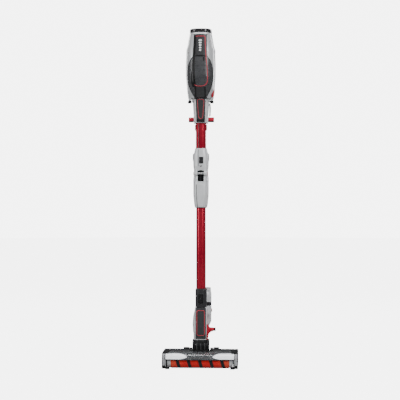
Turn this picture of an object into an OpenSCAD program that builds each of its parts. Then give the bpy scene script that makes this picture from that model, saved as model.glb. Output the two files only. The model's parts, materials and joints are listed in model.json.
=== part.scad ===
// Cordless stick vacuum: floor head, neck, folding wand and detachable hand unit.
// Frame: Z up, X across, the front of the floor head towards -Y. The wand's axis is x = 0, y = 0 and the
// floor is z = 0. Every moving piece is drawn at its resting place.

/* [Floor head] */
// Width of the floor head over its end caps
head_w = 260; // [252:1:280]
// Radius of the plush front roller
plush_r = 24; // [23.5:0.1:24]
// Radius of the rear brush roll over its bristles
bristle_r = 19; // [17:0.5:19]
// Radius of the rear wheels
wheel_r = 27; // [26:0.1:27.5]

/* [Wand] */
// Length of bare tube between the wand foot and the flex joint
lower_bare = 282; // [240:1:320]
// Length of bare tube between the flex joint and the hand unit
upper_bare = 87; // [80:1:120]
// Outer radius of the lower tube
lower_r = 17; // [16.8:0.1:17.2]
// Outer radius of the upper tube
upper_r = 18.4; // [18:0.1:18.5]
// Wall of both tubes
tube_t = 1.5; // [1.2:0.1:1.8]

/* [Shells] */
// Wall of the moulded shells
shell_t = 2.2; // [1.8:0.1:2.4]
// Gap between neighbouring mouldings
gap = 0.4; // [0.3:0.05:0.5]

/* [Hidden] */
$fn = 48;

// Heights of the stations along the stick, from the floor up.
z_ring = 80;
ring_h = 10;
z_neck = 91;
z_foot = z_neck + 113;
z_wand = z_foot + 65;
z_flex = z_wand + lower_bare;
z_hinge = z_flex + 119;
z_flex_top = z_hinge + 88;
z_collar = z_flex_top + upper_bare;
z_body = z_collar + 85;
z_cap = z_body + 226;
z_top = z_body + 240;

// Floor head: axes of the rollers, the motor, the wheels and the tilt pivot, as [y, z].
plush_c = [-64, plush_r];
brush_c = [-17, 19.5];
drive_c = [22, 29];
wheel_c = [37, wheel_r];
tilt_c = [12, 38];
arm_r = 10;
side_x = head_w / 2 - 12;
wall_x = side_x - 5;
plush_x = head_w / 2 - 30;
hub_l = 12;
deck_z = 49.5;
head_top = 55;
front_y = -96;
rear_y = 43;
yoke_x = 31;
shield_z = head_top + 0.8;
axle_r = 5;
run = 0.06;

// Neck, flex joint and hand unit.
ring_r = 20;
hinge_y = -20;
hinge_r = 4;
body_back = -19.5;
door_hinge = [-30, z_body + 6];
cup_top = z_body + 140;
bar_z = z_collar + 16;
bar_y = 36;
bar_r = 9;
bar_root = 11;
tool_c = [17, 50];
peg_z = z_neck + 37;
peg_y = -14;
peg_r = 6;
peg_root = 42.5;

// ---- shared shapes ----

// Corners of a w by d rectangle with corner radius r.
function rounded(w, d, r, n = 4) = [
    for (c = [0:3])
        for (i = [0:n])
            let (a = 90 * c + 90 * i / n)
            [(c == 0 || c == 3 ? 1 : -1) * (w / 2 - r) + r * cos(a),
             (c < 2 ? 1 : -1) * (d / 2 - r) + r * sin(a)]
];

// Points of an arc about c.
function arc(c, r, from, to, n = 6) = [
    for (i = [0:n])
        let (a = from + (to - from) * i / n)
        [c[0] + r * cos(a), c[1] + r * sin(a)]
];

// Outline of a band round two circles, as a belt runs.
function belt_line(a, ra, b, rb) =
    let (d = norm(b - a), lean = atan2(b[1] - a[1], b[0] - a[0]), open = acos((ra - rb) / d))
    concat(arc(a, ra, lean + open, lean + 360 - open, 16), arc(b, rb, lean - open, lean + open, 12));

// One ring of a moulded form: s = [z, half width, front y, back y], grown by t.
ring_n = 24;
form_e = 2.6;
function form_ring(s, t) = [
    for (i = [0:ring_n - 1])
        let (a = 360 * i / ring_n, hw = s[1] + t, hd = (s[3] - s[2]) / 2 + t, ym = (s[3] + s[2]) / 2)
        [hw * sign(cos(a)) * pow(abs(cos(a)), 2 / form_e),
         ym + hd * sign(sin(a)) * pow(abs(sin(a)), 2 / form_e), s[0]]
];

// A closed form through a stack of rings.
module form(stack, t = 0) {
    count = len(stack);
    points = [for (s = stack) each form_ring(s, t)];
    sides = [
        for (k = [0:count - 2])
            for (i = [0:ring_n - 1])
                let (j = (i + 1) % ring_n, a = k * ring_n + i, b = k * ring_n + j)
                each [[a, a + ring_n, b], [b, a + ring_n, b + ring_n]]
    ];
    bottom = [for (i = [0:ring_n - 1]) i];
    top = [for (i = [ring_n - 1:-1:0]) (count - 1) * ring_n + i];
    polyhedron(points, concat(sides, [bottom, top]), convexity = 6);
}

// The same stack, lengthened at both ends so that a cut made with it runs clean through.
function open_ended(stack) =
    let (a = stack[0], b = stack[len(stack) - 1])
    concat([[a[0] - 5, a[1], a[2], a[3]]], stack, [[b[0] + 5, b[1], b[2], b[3]]]);

// A [y, z] outline drawn out along X.
module along_x(x0, x1) translate([x0, 0, 0]) rotate([90, 0, 90]) linear_extrude(x1 - x0) children();

// An [x, z] outline drawn out along Y.
module along_y(y0, y1) translate([0, y1, 0]) rotate([90, 0, 0]) linear_extrude(y1 - y0) children();

// A cylinder along X about c = [y, z].
module rod_x(c, r, x0, x1) translate([x0, c[0], c[1]]) rotate([0, 90, 0]) cylinder(r = r, h = x1 - x0);

// A cylinder along Y about c = [x, z].
module rod_y(c, r, y0, y1) translate([c[0], y1, c[1]]) rotate([90, 0, 0]) cylinder(r = r, h = y1 - y0);

module box(lo, hi) translate(lo) cube(hi - lo);

module both() {
    children();
    mirror([1, 0, 0]) children();
}

module tube(r_out, r_in, z0, z1) translate([0, 0, z0]) difference() {
    cylinder(r = r_out, h = z1 - z0);
    translate([0, 0, -1]) cylinder(r = r_in, h = z1 - z0 + 2);
}

// ---- floor head ----

// Side outline of the head, t inside its outer surface.
function head_line(t) = concat(
    arc([front_y + 8, 10], 8 - t, 180, 270, 4),
    arc([rear_y - 5, 9], 5 - t, 270, 360, 4),
    arc([rear_y - 10, head_top - 12], 10 - t, 0, 80, 4),
    arc([front_y + 22, head_top - 20], 20 - t, 90, 180, 6)
);

// Outline of the arched cover, t inside its outer surface.
function window_line(t) = concat(
    arc([front_y + 22, head_top - 22], 22 - t, 90, 180, 6),
    [[front_y + t, 31]]
);

module nozzle_base() color("#3c3d40") difference() {
    union() {
        along_x(-wall_x, wall_x) polygon([
            [-52, deck_z], [rear_y - 9, deck_z], [rear_y - 2.6, deck_z - 7], [rear_y - 2.6, 10],
            [rear_y - 8, 3], [6, 3], [-52, 30]
        ]);
        for (s = [-1, 1])
            along_x(s > 0 ? wall_x : -side_x, s > 0 ? side_x : -wall_x)
                polygon(concat(
                    arc([-64, 24], 23, 90, 270, 10),
                    [[rear_y - 8, 3], [rear_y - 2.6, 10], [rear_y - 2.6, deck_z - 7], [rear_y - 9, deck_z]]));
    }
    rod_x(plush_c, 26.5, -wall_x, wall_x);
    rod_x(brush_c, 21, -wall_x, wall_x);
    box([-wall_x, -64, -1], [wall_x, 2, 14]);
    box([-wall_x, -60, -1], [wall_x, -38, 30]);
    both() {
        box([64, 9, 8], [wall_x - 3, rear_y - 3, 60]);
        box([44.5, 8.5, -1], [61.5, 70, 60]);
        rod_x(tilt_c, arm_r + 1, 17.2, yoke_x);
        box([17.2, tilt_c[0] - arm_r - 1, tilt_c[1]], [yoke_x, 70, 60]);
        box([17.2, tilt_c[0], tilt_c[1] - arm_r - 1], [yoke_x, 70, 60]);
        rod_x(plush_c, axle_r + run, wall_x - 1, side_x + 1);
        rod_x(brush_c, axle_r + run, wall_x - 1, side_x + 1);
    }
    both() rod_x(wheel_c, 3, 37, 68);
    rod_x(tilt_c, 4, -42, 42);
    rod_x(drive_c, 3.4, -side_x - 1, -wall_x + 4);
    box([-17.3, -10, 40], [17.3, 70, 60]);
    box([-17.3, 24, tilt_c[1] - arm_r - 1], [17.3, 70, 60]);
    translate([0, 6, 14]) cylinder(r = 13, h = 40);
    box([-13, -10, 14], [13, 6, 32]);
}

module nozzle_cover() color("#4a4b4f") difference() {
    union() {
        along_x(-side_x + gap, side_x - gap) polygon(concat(
            [[rear_y, 30]], arc([rear_y - 10, head_top - 12], 10, 0, 80, 4),
            [[-53, head_top], [-53, head_top - 3]],
            arc([rear_y - 10, head_top - 12], 10 - shell_t, 80, 0, 4), [[rear_y - shell_t, 30]]));
        both() along_x(43.5, 62.5) polygon(concat(
            arc(wheel_c, wheel_r + 4.2, 20, 135, 10), arc(wheel_c, wheel_r + 1.6, 135, 20, 10)));
    }
    both() {
        box([0, -10, 20], [yoke_x, 70, 70]);
        rod_x(wheel_c, wheel_r + 1.4, 45, 61);
        box([43, 0, 20], [44.8, rear_y - shell_t, deck_z + 0.1]);
        box([61.2, 0, 20], [63, rear_y - shell_t, deck_z + 0.1]);
        box([side_x - 15, -33, head_top - 2.6], [side_x + 1, 2, 70]);
    }
}

module front_window() color([0.75, 0.8, 0.85, 0.45]) along_x(-side_x + gap, side_x - gap) polygon(concat(
    [[-53 - gap, head_top]], window_line(0),
    [for (i = [len(window_line(0)) - 1:-1:0]) window_line(shell_t)[i]],
    [[-53 - gap, head_top - shell_t]]));

// Two light bars: a lens in front of its circuit board.
module headlights() color("white") both() {
    translate([0, -82, 47.5]) rotate([45, 0, 0]) box([50, -3, -1.5], [wall_x - 1, 3, 1.5]);
}

module end_cap(s) color("#2a2b2d") difference() {
    along_x(s > 0 ? side_x : -head_w / 2, s > 0 ? head_w / 2 : -side_x) polygon(head_line(0));
    along_x(s > 0 ? side_x - 1 : -head_w / 2 + 2.5, s > 0 ? head_w / 2 - 2.5 : -side_x + 1)
        polygon(head_line(3));
    both() box([side_x - 15, -33, head_top - 2.6], [head_w / 2 - 2, 2, 70]);
}
module end_cap_left() end_cap(-1);
module end_cap_right() end_cap(1);

module brush_motor() color("#8d9094") {
    rod_x(drive_c, 12.5, -108, -68);
    rod_x(drive_c, 3, -head_w / 2 + 4, -108);
    difference() {
        rod_x(drive_c, 6, -head_w / 2 + 4, -head_w / 2 + 10);
        rod_x(drive_c, 3, -head_w / 2 + 3, -head_w / 2 + 11);
    }
}

// Two toothed belts: motor to brush roll, and brush roll to front roller.
belt_gap = 0.3;
belt_t = 1.4;
plush_pulley = 9;
brush_pulley = 6.5;
module belt(a, ra, b, rb, x0) along_x(x0, x0 + 2.4) difference() {
    polygon(belt_line(a, ra + belt_gap + belt_t, b, rb + belt_gap + belt_t));
    polygon(belt_line(a, ra + belt_gap, b, rb + belt_gap));
}
module drive_belts() color("#202020") {
    belt(plush_c, plush_pulley, brush_c, brush_pulley, -head_w / 2 + 4.2);
    belt(drive_c, 6, brush_c, brush_pulley, -head_w / 2 + 7.4);
}

// Steel pins: two wheel axles and two tilt pivots.
module pivot_pins() color("silver") both() {
    rod_x(wheel_c, 3, 38, 67);
    rod_x(tilt_c, 4, 20.5, 41);
}

// Screws up into the base from below, heads sunk in the sole.
screw_at = [[-88, 22], [88, 22], [-100, 30], [100, 30]];
module nozzle_screws() color("dimgray") for (p = screw_at) translate([p[0], p[1], 8.4]) {
    cylinder(r = 3.2, h = 2);
    translate([0, 0, 2]) cylinder(r = 1.5, h = 4);
}

module window_latch(s) color("black")
    translate([s * (side_x + 0.5), -16, head_top - 2.2]) rotate([0, 0, 90])
        linear_extrude(2.6) polygon(rounded(22, 18, 3));
module window_latch_left() window_latch(-1);
module window_latch_right() window_latch(1);

module soft_roller_core() color("#77797c") {
    difference() {
        rod_x(plush_c, 19, -plush_x - hub_l, plush_x + hub_l);
        rod_x(plush_c, 15, -plush_x + 3, plush_x - 3);
    }
    both() rod_x(plush_c, plush_r - 2, plush_x + 0.4, plush_x + hub_l);
    rod_x(plush_c, axle_r, plush_x + hub_l, side_x + 2);
    rod_x(plush_c, axle_r, -head_w / 2 + 3.4, -plush_x - hub_l);
    difference() {
        rod_x(plush_c, plush_pulley, -head_w / 2 + 3.6, -head_w / 2 + 7);
        rod_x(plush_c, axle_r, -head_w / 2 + 3, -head_w / 2 + 8);
    }
}

module soft_roller_sleeve() color("crimson") difference() {
    rod_x(plush_c, plush_r, -plush_x, plush_x);
    rod_x(plush_c, 19.05, -plush_x - 1, plush_x + 1);
}

module brush_roll_core() color("#2d2e30") {
    rod_x(brush_c, 12, -plush_x - 3, plush_x + 3);
    rod_x(brush_c, axle_r, plush_x + 3, side_x + 2);
    rod_x(brush_c, axle_r, -head_w / 2 + 3.4, -plush_x - 3);
    difference() {
        rod_x(brush_c, brush_pulley, -head_w / 2 + 3.6, -head_w / 2 + 10);
        rod_x(brush_c, axle_r, -head_w / 2 + 3, -head_w / 2 + 11);
    }
}

// Six rows of tufts round the brush roll.
module brush_roll_bristles() color("dimgray") for (k = [0:5])
    translate([0, brush_c[0], brush_c[1]]) rotate([60 * k + 15, 0, 0])
        box([-plush_x, -1.5, 12], [plush_x, 1.5, bristle_r - 0.2]);

// A wheel with its rubber tyre.
module wheel(x0) {
    color("#55575a") difference() {
        rod_x(wheel_c, wheel_r - 3, x0, x0 + 14);
        rod_x(wheel_c, 3 + run, x0 - 1, x0 + 15);
    }
    color("black") difference() {
        rod_x(wheel_c, wheel_r, x0 + 1, x0 + 13);
        rod_x(wheel_c, wheel_r - 2.95, x0, x0 + 14);
    }
}
module wheel_left() wheel(-60);
module wheel_right() wheel(46);

// ---- neck ----

// Fork of the neck: two arms on the tilt pivot, a shield between them, and the swivel ring on top.
module neck_yoke() color("#37383b") difference() {
    union() {
        both() {
            along_x(23, 29) polygon(concat(
                arc(tilt_c, arm_r, 180, 360, 10),
                [[20, z_ring], [20, z_ring + ring_h], [-14, z_ring + ring_h], [-25.5, z_ring], [-25.5, z_ring - 7],
                 [-16, shield_z], [2.5, shield_z]]));
            rod_x(tilt_c, 8, 19, 23.5);
        }
        along_x(-23.5, 23.5) polygon([
            [-25.5, z_ring + 0.1], [-25.5, z_ring - 7], [-16, shield_z], [-13.6, shield_z], [-23.2, z_ring - 7],
            [-23.2, z_ring + 0.1]]);
        tube(29, ring_r, z_ring, z_ring + ring_h);
    }
    rod_x(tilt_c, 4 + run, -30, 30);
    translate([0, 0, z_ring - 1]) cylinder(r = ring_r, h = ring_h + 2);
}

module neck_hose() color("#222326") translate([0, 5, 0]) tube(14.5, 12.5, 40.3, z_ring - 6.5);

// Stations of the neck's moulding, which is flat on its right, where the tools are carried.
neck_stack = [
    [z_neck, 26.2, -22, 24], [z_neck + 22, 26.6, -23, 25], [z_neck + 26, 28.8, -24, 27],
    [z_neck + 50, 28.8, -24, 28], [z_neck + 70, 27, -24, 28], [z_neck + 90, 24.8, -23, 26],
    [z_neck + 104, 22.2, -22, 24], [z_foot, 20.8, -21.5, 23.5]
];
neck_flat = 20.2;
panel_x = 17.6;

module neck_form(t) difference() {
    form(t > 0 ? open_ended(neck_stack) : neck_stack, -t);
    box([neck_flat - t, -60, z_neck - 10], [60, 60, z_foot + 10]);
}

module neck_skin() difference() {
    neck_form(0);
    neck_form(shell_t);
}

module neck_shell_front() color("silver") difference() {
    neck_skin();
    box([-60, 0, 0], [60, 60, z_foot + 10]);
    box([-panel_x - gap, -60, z_neck + 4], [panel_x + gap, -16, z_foot + 1]);
}

module neck_shell_rear() color("silver") difference() {
    neck_skin();
    box([-60, -60, 0], [60, gap, z_foot + 10]);
}

module neck_panel() color("#404144") translate([0, 0, z_neck + 4 + gap]) linear_extrude(z_foot - z_neck - 5)
    polygon([
        [-panel_x, -19.4], [-panel_x, -23], [-12, -25], [12, -25], [panel_x, -23], [panel_x, -19.4]
    ]);

// Air duct of the neck: swivel journal at its foot, socket for the wand at its head.
socket_l = 50;
module neck_duct() color("#2c2d2f") difference() {
    union() {
        translate([0, 0, z_ring - 6]) cylinder(r = 22, h = 6 - gap);
        translate([0, 0, z_ring - 6]) cylinder(r = ring_r - run, h = 7 + ring_h);
        translate([0, 0, z_neck]) cylinder(r = 18, h = z_foot - z_neck - gap);
    }
    translate([0, 0, z_ring - 10]) cylinder(r = 14, h = 200);
    translate([0, 0, z_foot - socket_l]) cylinder(r = 16.2, h = 60);
}

// Red bracket on the flat side of the neck: an accessory peg in front, and behind the neck a tongue and
// a snap ring that carry the crevice tool.
clip_z = z_neck + 90;
module tool_bracket() color("crimson") difference() {
    union() {
        box([neck_flat, peg_y - 5, z_neck + 13], [25, 30, z_neck + 47]);
        along_y(peg_y - 4.6, peg_y + 4.6) polygon(concat(
            [[25, z_neck + 51], [neck_flat, z_neck + 51], [neck_flat, z_neck + 0.4], [24.4, z_neck + 0.4]],
            arc([peg_root + 2, peg_z - 24], 17.4, 180, 97, 8), [[peg_root, peg_z + 3], [30, peg_z + 5]]));
        rod_x([peg_y, peg_z], peg_r + 0.6, 27, peg_root);
        rod_x([peg_y, peg_z], peg_r, peg_root - 0.1, 52);
        box([-2, 28.4, z_neck + 22], [25, 31.6, z_neck + 34]);
        box([4, 28.4, z_neck + 22], [20, 31.6, clip_z + 12]);
        box([4, 31, z_neck + 22], [16, tool_c[1] + 3.6, z_neck + 28]);
        box([4, tool_c[1] - 3.6, z_neck + 22], [16, tool_c[1] + 3.6, z_neck + 62]);
        translate([tool_c[0], tool_c[1], clip_z]) cylinder(r = 20.6, h = 12);
    }
    translate([tool_c[0], tool_c[1], clip_z - 1]) cylinder(r = 18.4, h = 14);
    box([neck_flat, 0, clip_z - 1], [60, tool_c[1] + 2, clip_z + 13]);
}

// Crevice tool, tip down: a flat blade cut off at a slant, which grows into a round socket.
tool_stack = [
    [z_neck + 30, 17.8, -7.5, 7.5], [z_neck + 68, 17.8, -7.5, 7.5], [z_neck + 78, 17.9, -12, 12],
    [z_neck + 88, 18, -18, 18], [z_neck + 112, 18, -18, 18]
];
module crevice_tool() color("lightgray") difference() {
    translate([tool_c[0], tool_c[1], 0]) {
        intersection() {
            form(tool_stack);
            cylinder(r = 18, h = z_foot + 100);
        }
        translate([0, 0, z_neck + 111]) cylinder(r = 16, h = 66);
    }
    translate([tool_c[0], tool_c[1], z_neck + 104]) cylinder(r = 14, h = 100);
    box([tool_c[0] - 14, tool_c[1] - 4.4, z_neck], [tool_c[0] + 14, tool_c[1] + 4.4, z_neck + 120]);
    along_y(0, 80) polygon([[-5, z_neck + 20], [-5, z_neck + 32], [40, z_neck + 74], [60, z_neck + 20]]);
}

// Sliding collar with a ring of soft bristles, parked round the crevice tool's socket.
module dusting_brush() color("gray") translate([tool_c[0], tool_c[1], 0])
    tube(18.2, 16.2, z_neck + 113, z_neck + 162);

// ---- lower wand ----

// A tube with a narrow flat down its front.
module flat_tube(r, flat_y, z0, z1) difference() {
    translate([0, 0, z0]) cylinder(r = r, h = z1 - z0);
    box([-30, -30, z0 - 1], [30, flat_y, z1 + 1]);
    translate([0, 0, z0 - 1]) cylinder(r = r - 2 * tube_t, h = z1 - z0 + 2);
}

module lower_wand_tube() color("crimson") flat_tube(lower_r, -lower_r + 1.5, z_wand - 22, z_flex + 20);

// Foot of the wand: the moulding round the tube's end, with the spigot that enters the neck.
module wand_foot() color("#36373a") difference() {
    union() {
        translate([0, 1, z_foot + gap]) linear_extrude(z_wand - z_foot - gap) polygon(rounded(39, 43, 14, 8));
        translate([0, 0, z_foot - socket_l + 3]) cylinder(r = 15.7, h = socket_l);
    }
    translate([0, 0, z_foot - 60]) cylinder(r = 13.6, h = 140);
    translate([0, 0, z_wand - 22 - gap]) cylinder(r = lower_r + 0.05, h = 40);
    box([-8, -30, z_foot + 14], [8, -17.4, z_foot + 46]);
    box([-12.5, -30, z_foot - 1], [12.5, -19.5, z_foot + 10]);
}

module nozzle_release_button() color("#1d1e20") difference() {
    translate([0, -22.3, z_foot + 14.5]) linear_extrude(31) polygon([[-7.5, 0], [7.5, 0], [7.5, 2.7], [-7.5, 2.7]]);
    for (k = [0:3]) box([-5.5, -23, z_foot + 20 + 6 * k], [5.5, -21.7, z_foot + 22 + 6 * k]);
}

// Stations of the flex joint's lower and upper mouldings.
flex_low = [
    [z_flex, 20.6, -20, 22], [z_flex + 10, 23.6, -22, 24], [z_flex + 27, 25.2, -23, 25.5],
    [z_flex + 45, 27, -24, 27.5], [z_flex + 98, 27.2, -24, 28], [z_hinge - gap, 24.8, -23, 28]
];
flex_high = [
    [z_hinge, 24.6, -23, 28], [z_hinge + 12, 25.2, -24, 28], [z_hinge + 30, 27.2, -24, 28],
    [z_hinge + 54, 27.6, -24, 27.5], [z_hinge + 68, 25.8, -23.5, 26], [z_hinge + 80, 22.3, -22.5, 24.5],
    [z_flex_top, 21.2, -21.5, 23]
];
// The hinge's knuckles share out the pin's length: outer ones below, fingers above.
finger_in = 11.5;
finger_out = 18.5;
knuckle_r = 8.5;
button_dz = 57;

// Side outline of a knuckle: a disc round the pin on an arm that leans back from the other half.
function knuckle_line(up) = concat(
    arc([hinge_y, z_hinge], knuckle_r, 0, -255 * up, 14),
    [[hinge_y - 1.6, z_hinge + up * 9.7], [hinge_y - 3.4, z_hinge + up * 19.5],
     [hinge_y - 3.4, z_hinge + up * 26], [hinge_y + 6, z_hinge + up * 26]]);

// Room that both mouldings leave round the knuckles and in front of them, as up is 1 or -1.
module fold_relief(up) {
    along_x(-40, 40) polygon([
        [hinge_y + 2, z_hinge], [hinge_y - 2, z_hinge + up * 12], [-26, z_hinge + up * 34],
        [-40, z_hinge + up * 60], [-40, z_hinge]
    ]);
    rod_x([hinge_y, z_hinge], knuckle_r + 1.2, -40, 40);
}

module flex_lower_skin() difference() {
    form(flex_low);
    form(open_ended(flex_low), -shell_t);
    fold_relief(-1);
    box([-finger_in + 1, -30, z_hinge - 28], [finger_in - 1, -12, z_hinge + 5]);
}

module flex_lower_front() color("lightgray") difference() {
    union() {
        difference() {
            flex_lower_skin();
            box([-60, 0, 0], [60, 60, z_top]);
        }
        both() along_x(finger_out + gap, 23.6) polygon(knuckle_line(-1));
        intersection() {
            form(flex_low, 0.4 - shell_t);
            box([-40, -40, z_flex + 6], [40, 0, z_flex + 14]);
        }
    }
    rod_x([hinge_y, z_hinge], hinge_r, -40, 40);
    translate([0, 0, z_flex - 1]) cylinder(r = lower_r + 0.05, h = 40);
}

module flex_lower_rear() color("lightgray") difference() {
    flex_lower_skin();
    box([-60, -60, 0], [60, gap, z_top]);
}

// Hinge pin with its two red end caps.
module flex_pin() color("crimson") {
    rod_x([hinge_y, z_hinge], hinge_r, -23.8, 23.8);
    both() rod_x([hinge_y, z_hinge], 6.4, 23.8, 25.8);
}

module flex_hose() color("#2a2b2e") translate([0, 3, 0]) tube(13.4, 11.6, z_flex + 21, z_flex_top - 21);

module flex_upper_skin() difference() {
    form(flex_high);
    form(open_ended(flex_high), -shell_t);
    fold_relief(1);
    both() box([22, -8.5, z_hinge + button_dz - 12.5], [32, 8.5, z_hinge + button_dz + 12.5]);
}

module flex_upper_front() color("lightgray") difference() {
    union() {
        difference() {
            flex_upper_skin();
            box([-60, 0, 0], [60, 60, z_top]);
        }
        both() along_x(finger_in, finger_out) polygon(knuckle_line(1));
        intersection() {
            form(flex_high, 0.4 - shell_t);
            box([-40, -40, z_flex_top - 14], [40, 0, z_flex_top - 6]);
        }
    }
    rod_x([hinge_y, z_hinge], hinge_r + run, -40, 40);
    translate([0, 0, z_flex_top - 40]) cylinder(r = upper_r + 0.05, h = 60);
}

module flex_upper_rear() color("lightgray") difference() {
    flex_upper_skin();
    box([-60, -60, 0], [60, gap, z_top]);
}

module flex_button(s) color("darkgray") translate([s * 26.6, 0, z_hinge + button_dz]) rotate([0, 90, 0])
    translate([0, 0, -2.6]) linear_extrude(5.2) polygon(rounded(24, 16, 4));
module flex_button_left() flex_button(-1);
module flex_button_right() flex_button(1);

// ---- upper wand ----

module upper_wand_tube() color("crimson")
    flat_tube(upper_r, -upper_r + 1.5, z_flex_top - 20, z_collar + 60);

// Clamp round the tube with a cross bar behind the collar: its ends are two accessory pegs.
module accessory_clip() color("crimson") difference() {
    union() {
        translate([0, 0, z_collar - 24]) cylinder(r = 21.4, h = 20);
        rod_x([bar_y, bar_z], bar_r + 0.5, -bar_root, bar_root);
        both() rod_x([bar_y, bar_z], bar_r, bar_root - 0.1, 45);
        box([-bar_root, 10, z_collar - 24], [bar_root, bar_y + 6, z_collar - 4]);
        box([-bar_root, bar_y - 8, z_collar - 10], [bar_root, bar_y + 6, bar_z]);
    }
    translate([0, 0, z_collar - 30]) cylinder(r = upper_r + 0.05, h = 40);
    box([-30, -40, z_collar - 30], [30, -6, z_collar]);
}

// ---- hand unit ----

// Stations of the hand unit's body.
body_stack = [
    [z_body, 44.3, -33, 31], [z_body + 14, 46.3, -45, 34], [z_body + 33, 48.2, -62, 37],
    [z_body + 55, 49.6, -72, 38.5], [z_body + 80, 51.6, -75, 40], [z_body + 115, 51.8, -75, 41],
    [z_body + 141, 50.8, -72, 41], [z_body + 168, 50, -67, 41], [z_body + 182, 46.2, -64, 41],
    [z_body + 199, 43.5, -60, 41], [z_body + 216, 40.4, -56, 40.5], [z_cap, 39, -54, 40]
];
// Half width of the dark front, from the foot of the hand unit up.
dark_line = [
    [20, -6], [20, 1], [24, 10], [30, 20], [37.5, 37], [42, 54], [43.8, 72], [43.5, 92], [40, 112],
    [33.5, 128], [25, 141], [22, 180], [21, 219]
];

// Outline of the dark front between two heights over z_body, shrunk by t.
function dark_front(t, low, high) =
    let (part = [for (p = dark_line) if (p[1] >= low && p[1] <= high) p])
    concat([for (p = part) [p[0] - t, z_body + p[1]]],
           [for (k = [len(part) - 1:-1:0]) [t - part[k][0], z_body + part[k][1]]]);

module body_skin() difference() {
    form(body_stack);
    form(open_ended(body_stack), -shell_t);
}

// The grip's centre line, as [y, height over z_body].
grip_line = [
    [36, 207], [54, 204], [69.5, 193], [78.5, 172], [82.2, 140], [80.5, 105], [74.5, 72], [63.5, 46],
    [49, 30], [34, 22]
];
function grip_dir(k) = let (a = grip_line[max(k - 1, 0)], b = grip_line[min(k + 1, len(grip_line) - 1)])
    (b - a) / norm(b - a);
grip_n = 16;
module grip_form(t = 0) {
    count = len(grip_line);
    points = [
        for (k = [0:count - 1])
            let (p = grip_line[k], d = grip_dir(k))
            for (i = [0:grip_n - 1])
                let (a = 360 * i / grip_n, u = (15 + t) * cos(a), v = (12 + t) * sin(a))
                [u, p[0] - d[1] * v, z_body + p[1] + d[0] * v]
    ];
    sides = [
        for (k = [0:count - 2])
            for (i = [0:grip_n - 1])
                let (j = (i + 1) % grip_n, a = k * grip_n + i, b = k * grip_n + j)
                each [[a, b, a + grip_n], [b, b + grip_n, a + grip_n]]
    ];
    polyhedron(points, concat(sides, [[for (i = [grip_n - 1:-1:0]) i],
        [for (i = [0:grip_n - 1]) (count - 1) * grip_n + i]]), convexity = 6);
}

trigger_z = z_body + 158;
mode_c = [57, z_body + 214];
latch_z = z_body + 165;
jack_r = 2.75;
jack_y = 29;
button_c = [-26, z_body + 18];

// One clamshell: half of the body and half of the handle.
module side_shell(s) color("silver") difference() {
    union() {
        difference() {
            body_skin();
            along_y(-100, body_back + gap) polygon(dark_front(-gap, -10, 230));
            box([-25, -100, z_body + 218], [25, -30, z_cap + 1]);
        }
        difference() {
            grip_form();
            form(open_ended(body_stack), -0.5);
        }
        translate([s * 38, -16, z_body - 9]) linear_extrude(11) polygon(rounded(10, 12, 3));
    }
    box([s > 0 ? -200 : -0.1, -200, 0], [s > 0 ? 0.1 : 200, 200, z_top + 50]);
    box([-7, 60, trigger_z - 17], [7, 80.5, trigger_z + 17]);
    translate([0, mode_c[0], mode_c[1] - 12]) cylinder(r = 5.5, h = 30);
    if (s > 0) {
        box([38, -4.4, latch_z - 9.4], [60, 14.4, latch_z + 9.4]);
        box([36, button_c[0] - 8.4, button_c[1] - 14.4], [60, button_c[0] + 8.4, button_c[1] + 14.4]);
        box([25, 4, z_body - 2], [37, 16, z_body + 6]);
    }
    for (p = screw_points) rod_x([p[0], z_body + p[1]], 1.6, -30, 12);
    for (p = screw_points) rod_x([p[0], z_body + p[1]], 3.6, -30, -11);
}
module side_shell_left() side_shell(-1);
module side_shell_right() side_shell(1);

screw_points = [[78.5, 178], [81.5, 122], [73, 64], [52, 32]];
module body_screws() color("dimgray") for (p = screw_points) {
    rod_x([p[0], z_body + p[1]], 3.4, -13, -11);
    rod_x([p[0], z_body + p[1]], 1.5, -11, 8);
}

// Rubber: the pad round the back of the grip and the bumpers under the body.
module rubber_pads() color("#151515") {
    difference() {
        intersection() {
            grip_form(1.8);
            box([-30, 60, z_body + 66], [30, 120, z_body + 178]);
        }
        grip_form(0);
        box([-30, 40, z_body], [30, 73, z_body + 230]);
    }
    for (s = [-1, 1]) translate([s * 38, -16, z_body - 15]) linear_extrude(5.8) polygon(rounded(11, 13, 4));
}

module spine_panel() color("#3f4043") intersection() {
    body_skin();
    along_y(-100, -30) polygon(dark_front(0, 141, 219));
}

lever_z = z_collar + 66;
lever_pin = [25.4, lever_z + 2.5];
lever_pin_r = 1.2;

// Collar of the hand unit: socket for the wand, and the duct that leads up behind the dust cup.
module inlet_collar() color("lightgray") difference() {
    union() {
        form([[z_collar, 24, -23, 25], [z_collar + 60, 28, -24, 26], [z_body - gap, 29, -24, 26]]);
        translate([0, 0, z_body - 1]) cylinder(r = 17.4, h = 81);
    }
    translate([0, 0, z_collar - 1]) cylinder(r = upper_r + 0.7, h = 62);
    translate([0, 0, z_collar]) cylinder(r = 15, h = 160);
    box([-11, -22, z_body + 56], [11, 0, z_body + 75]);
    box([-18, -40, z_collar + 3], [18, -21, z_body + 1]);
    box([23, -5.6, z_collar + 21], [40, 5.6, z_collar + 72]);
    rod_y(lever_pin, lever_pin_r + run, -8.2, 8.2);
}

module collar_panel() color("#3a3b3e") intersection() {
    translate([0, 0, z_collar + 3.4]) linear_extrude(81) polygon([
        [-17.6, -21.4], [-17.6, -24], [-12, -25.6], [12, -25.6], [17.6, -24], [17.6, -21.4]
    ]);
    along_y(-40, 0) polygon([[-14.8, z_collar], [14.8, z_collar], [17.6, z_body], [-17.6, z_body]]);
}

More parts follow.
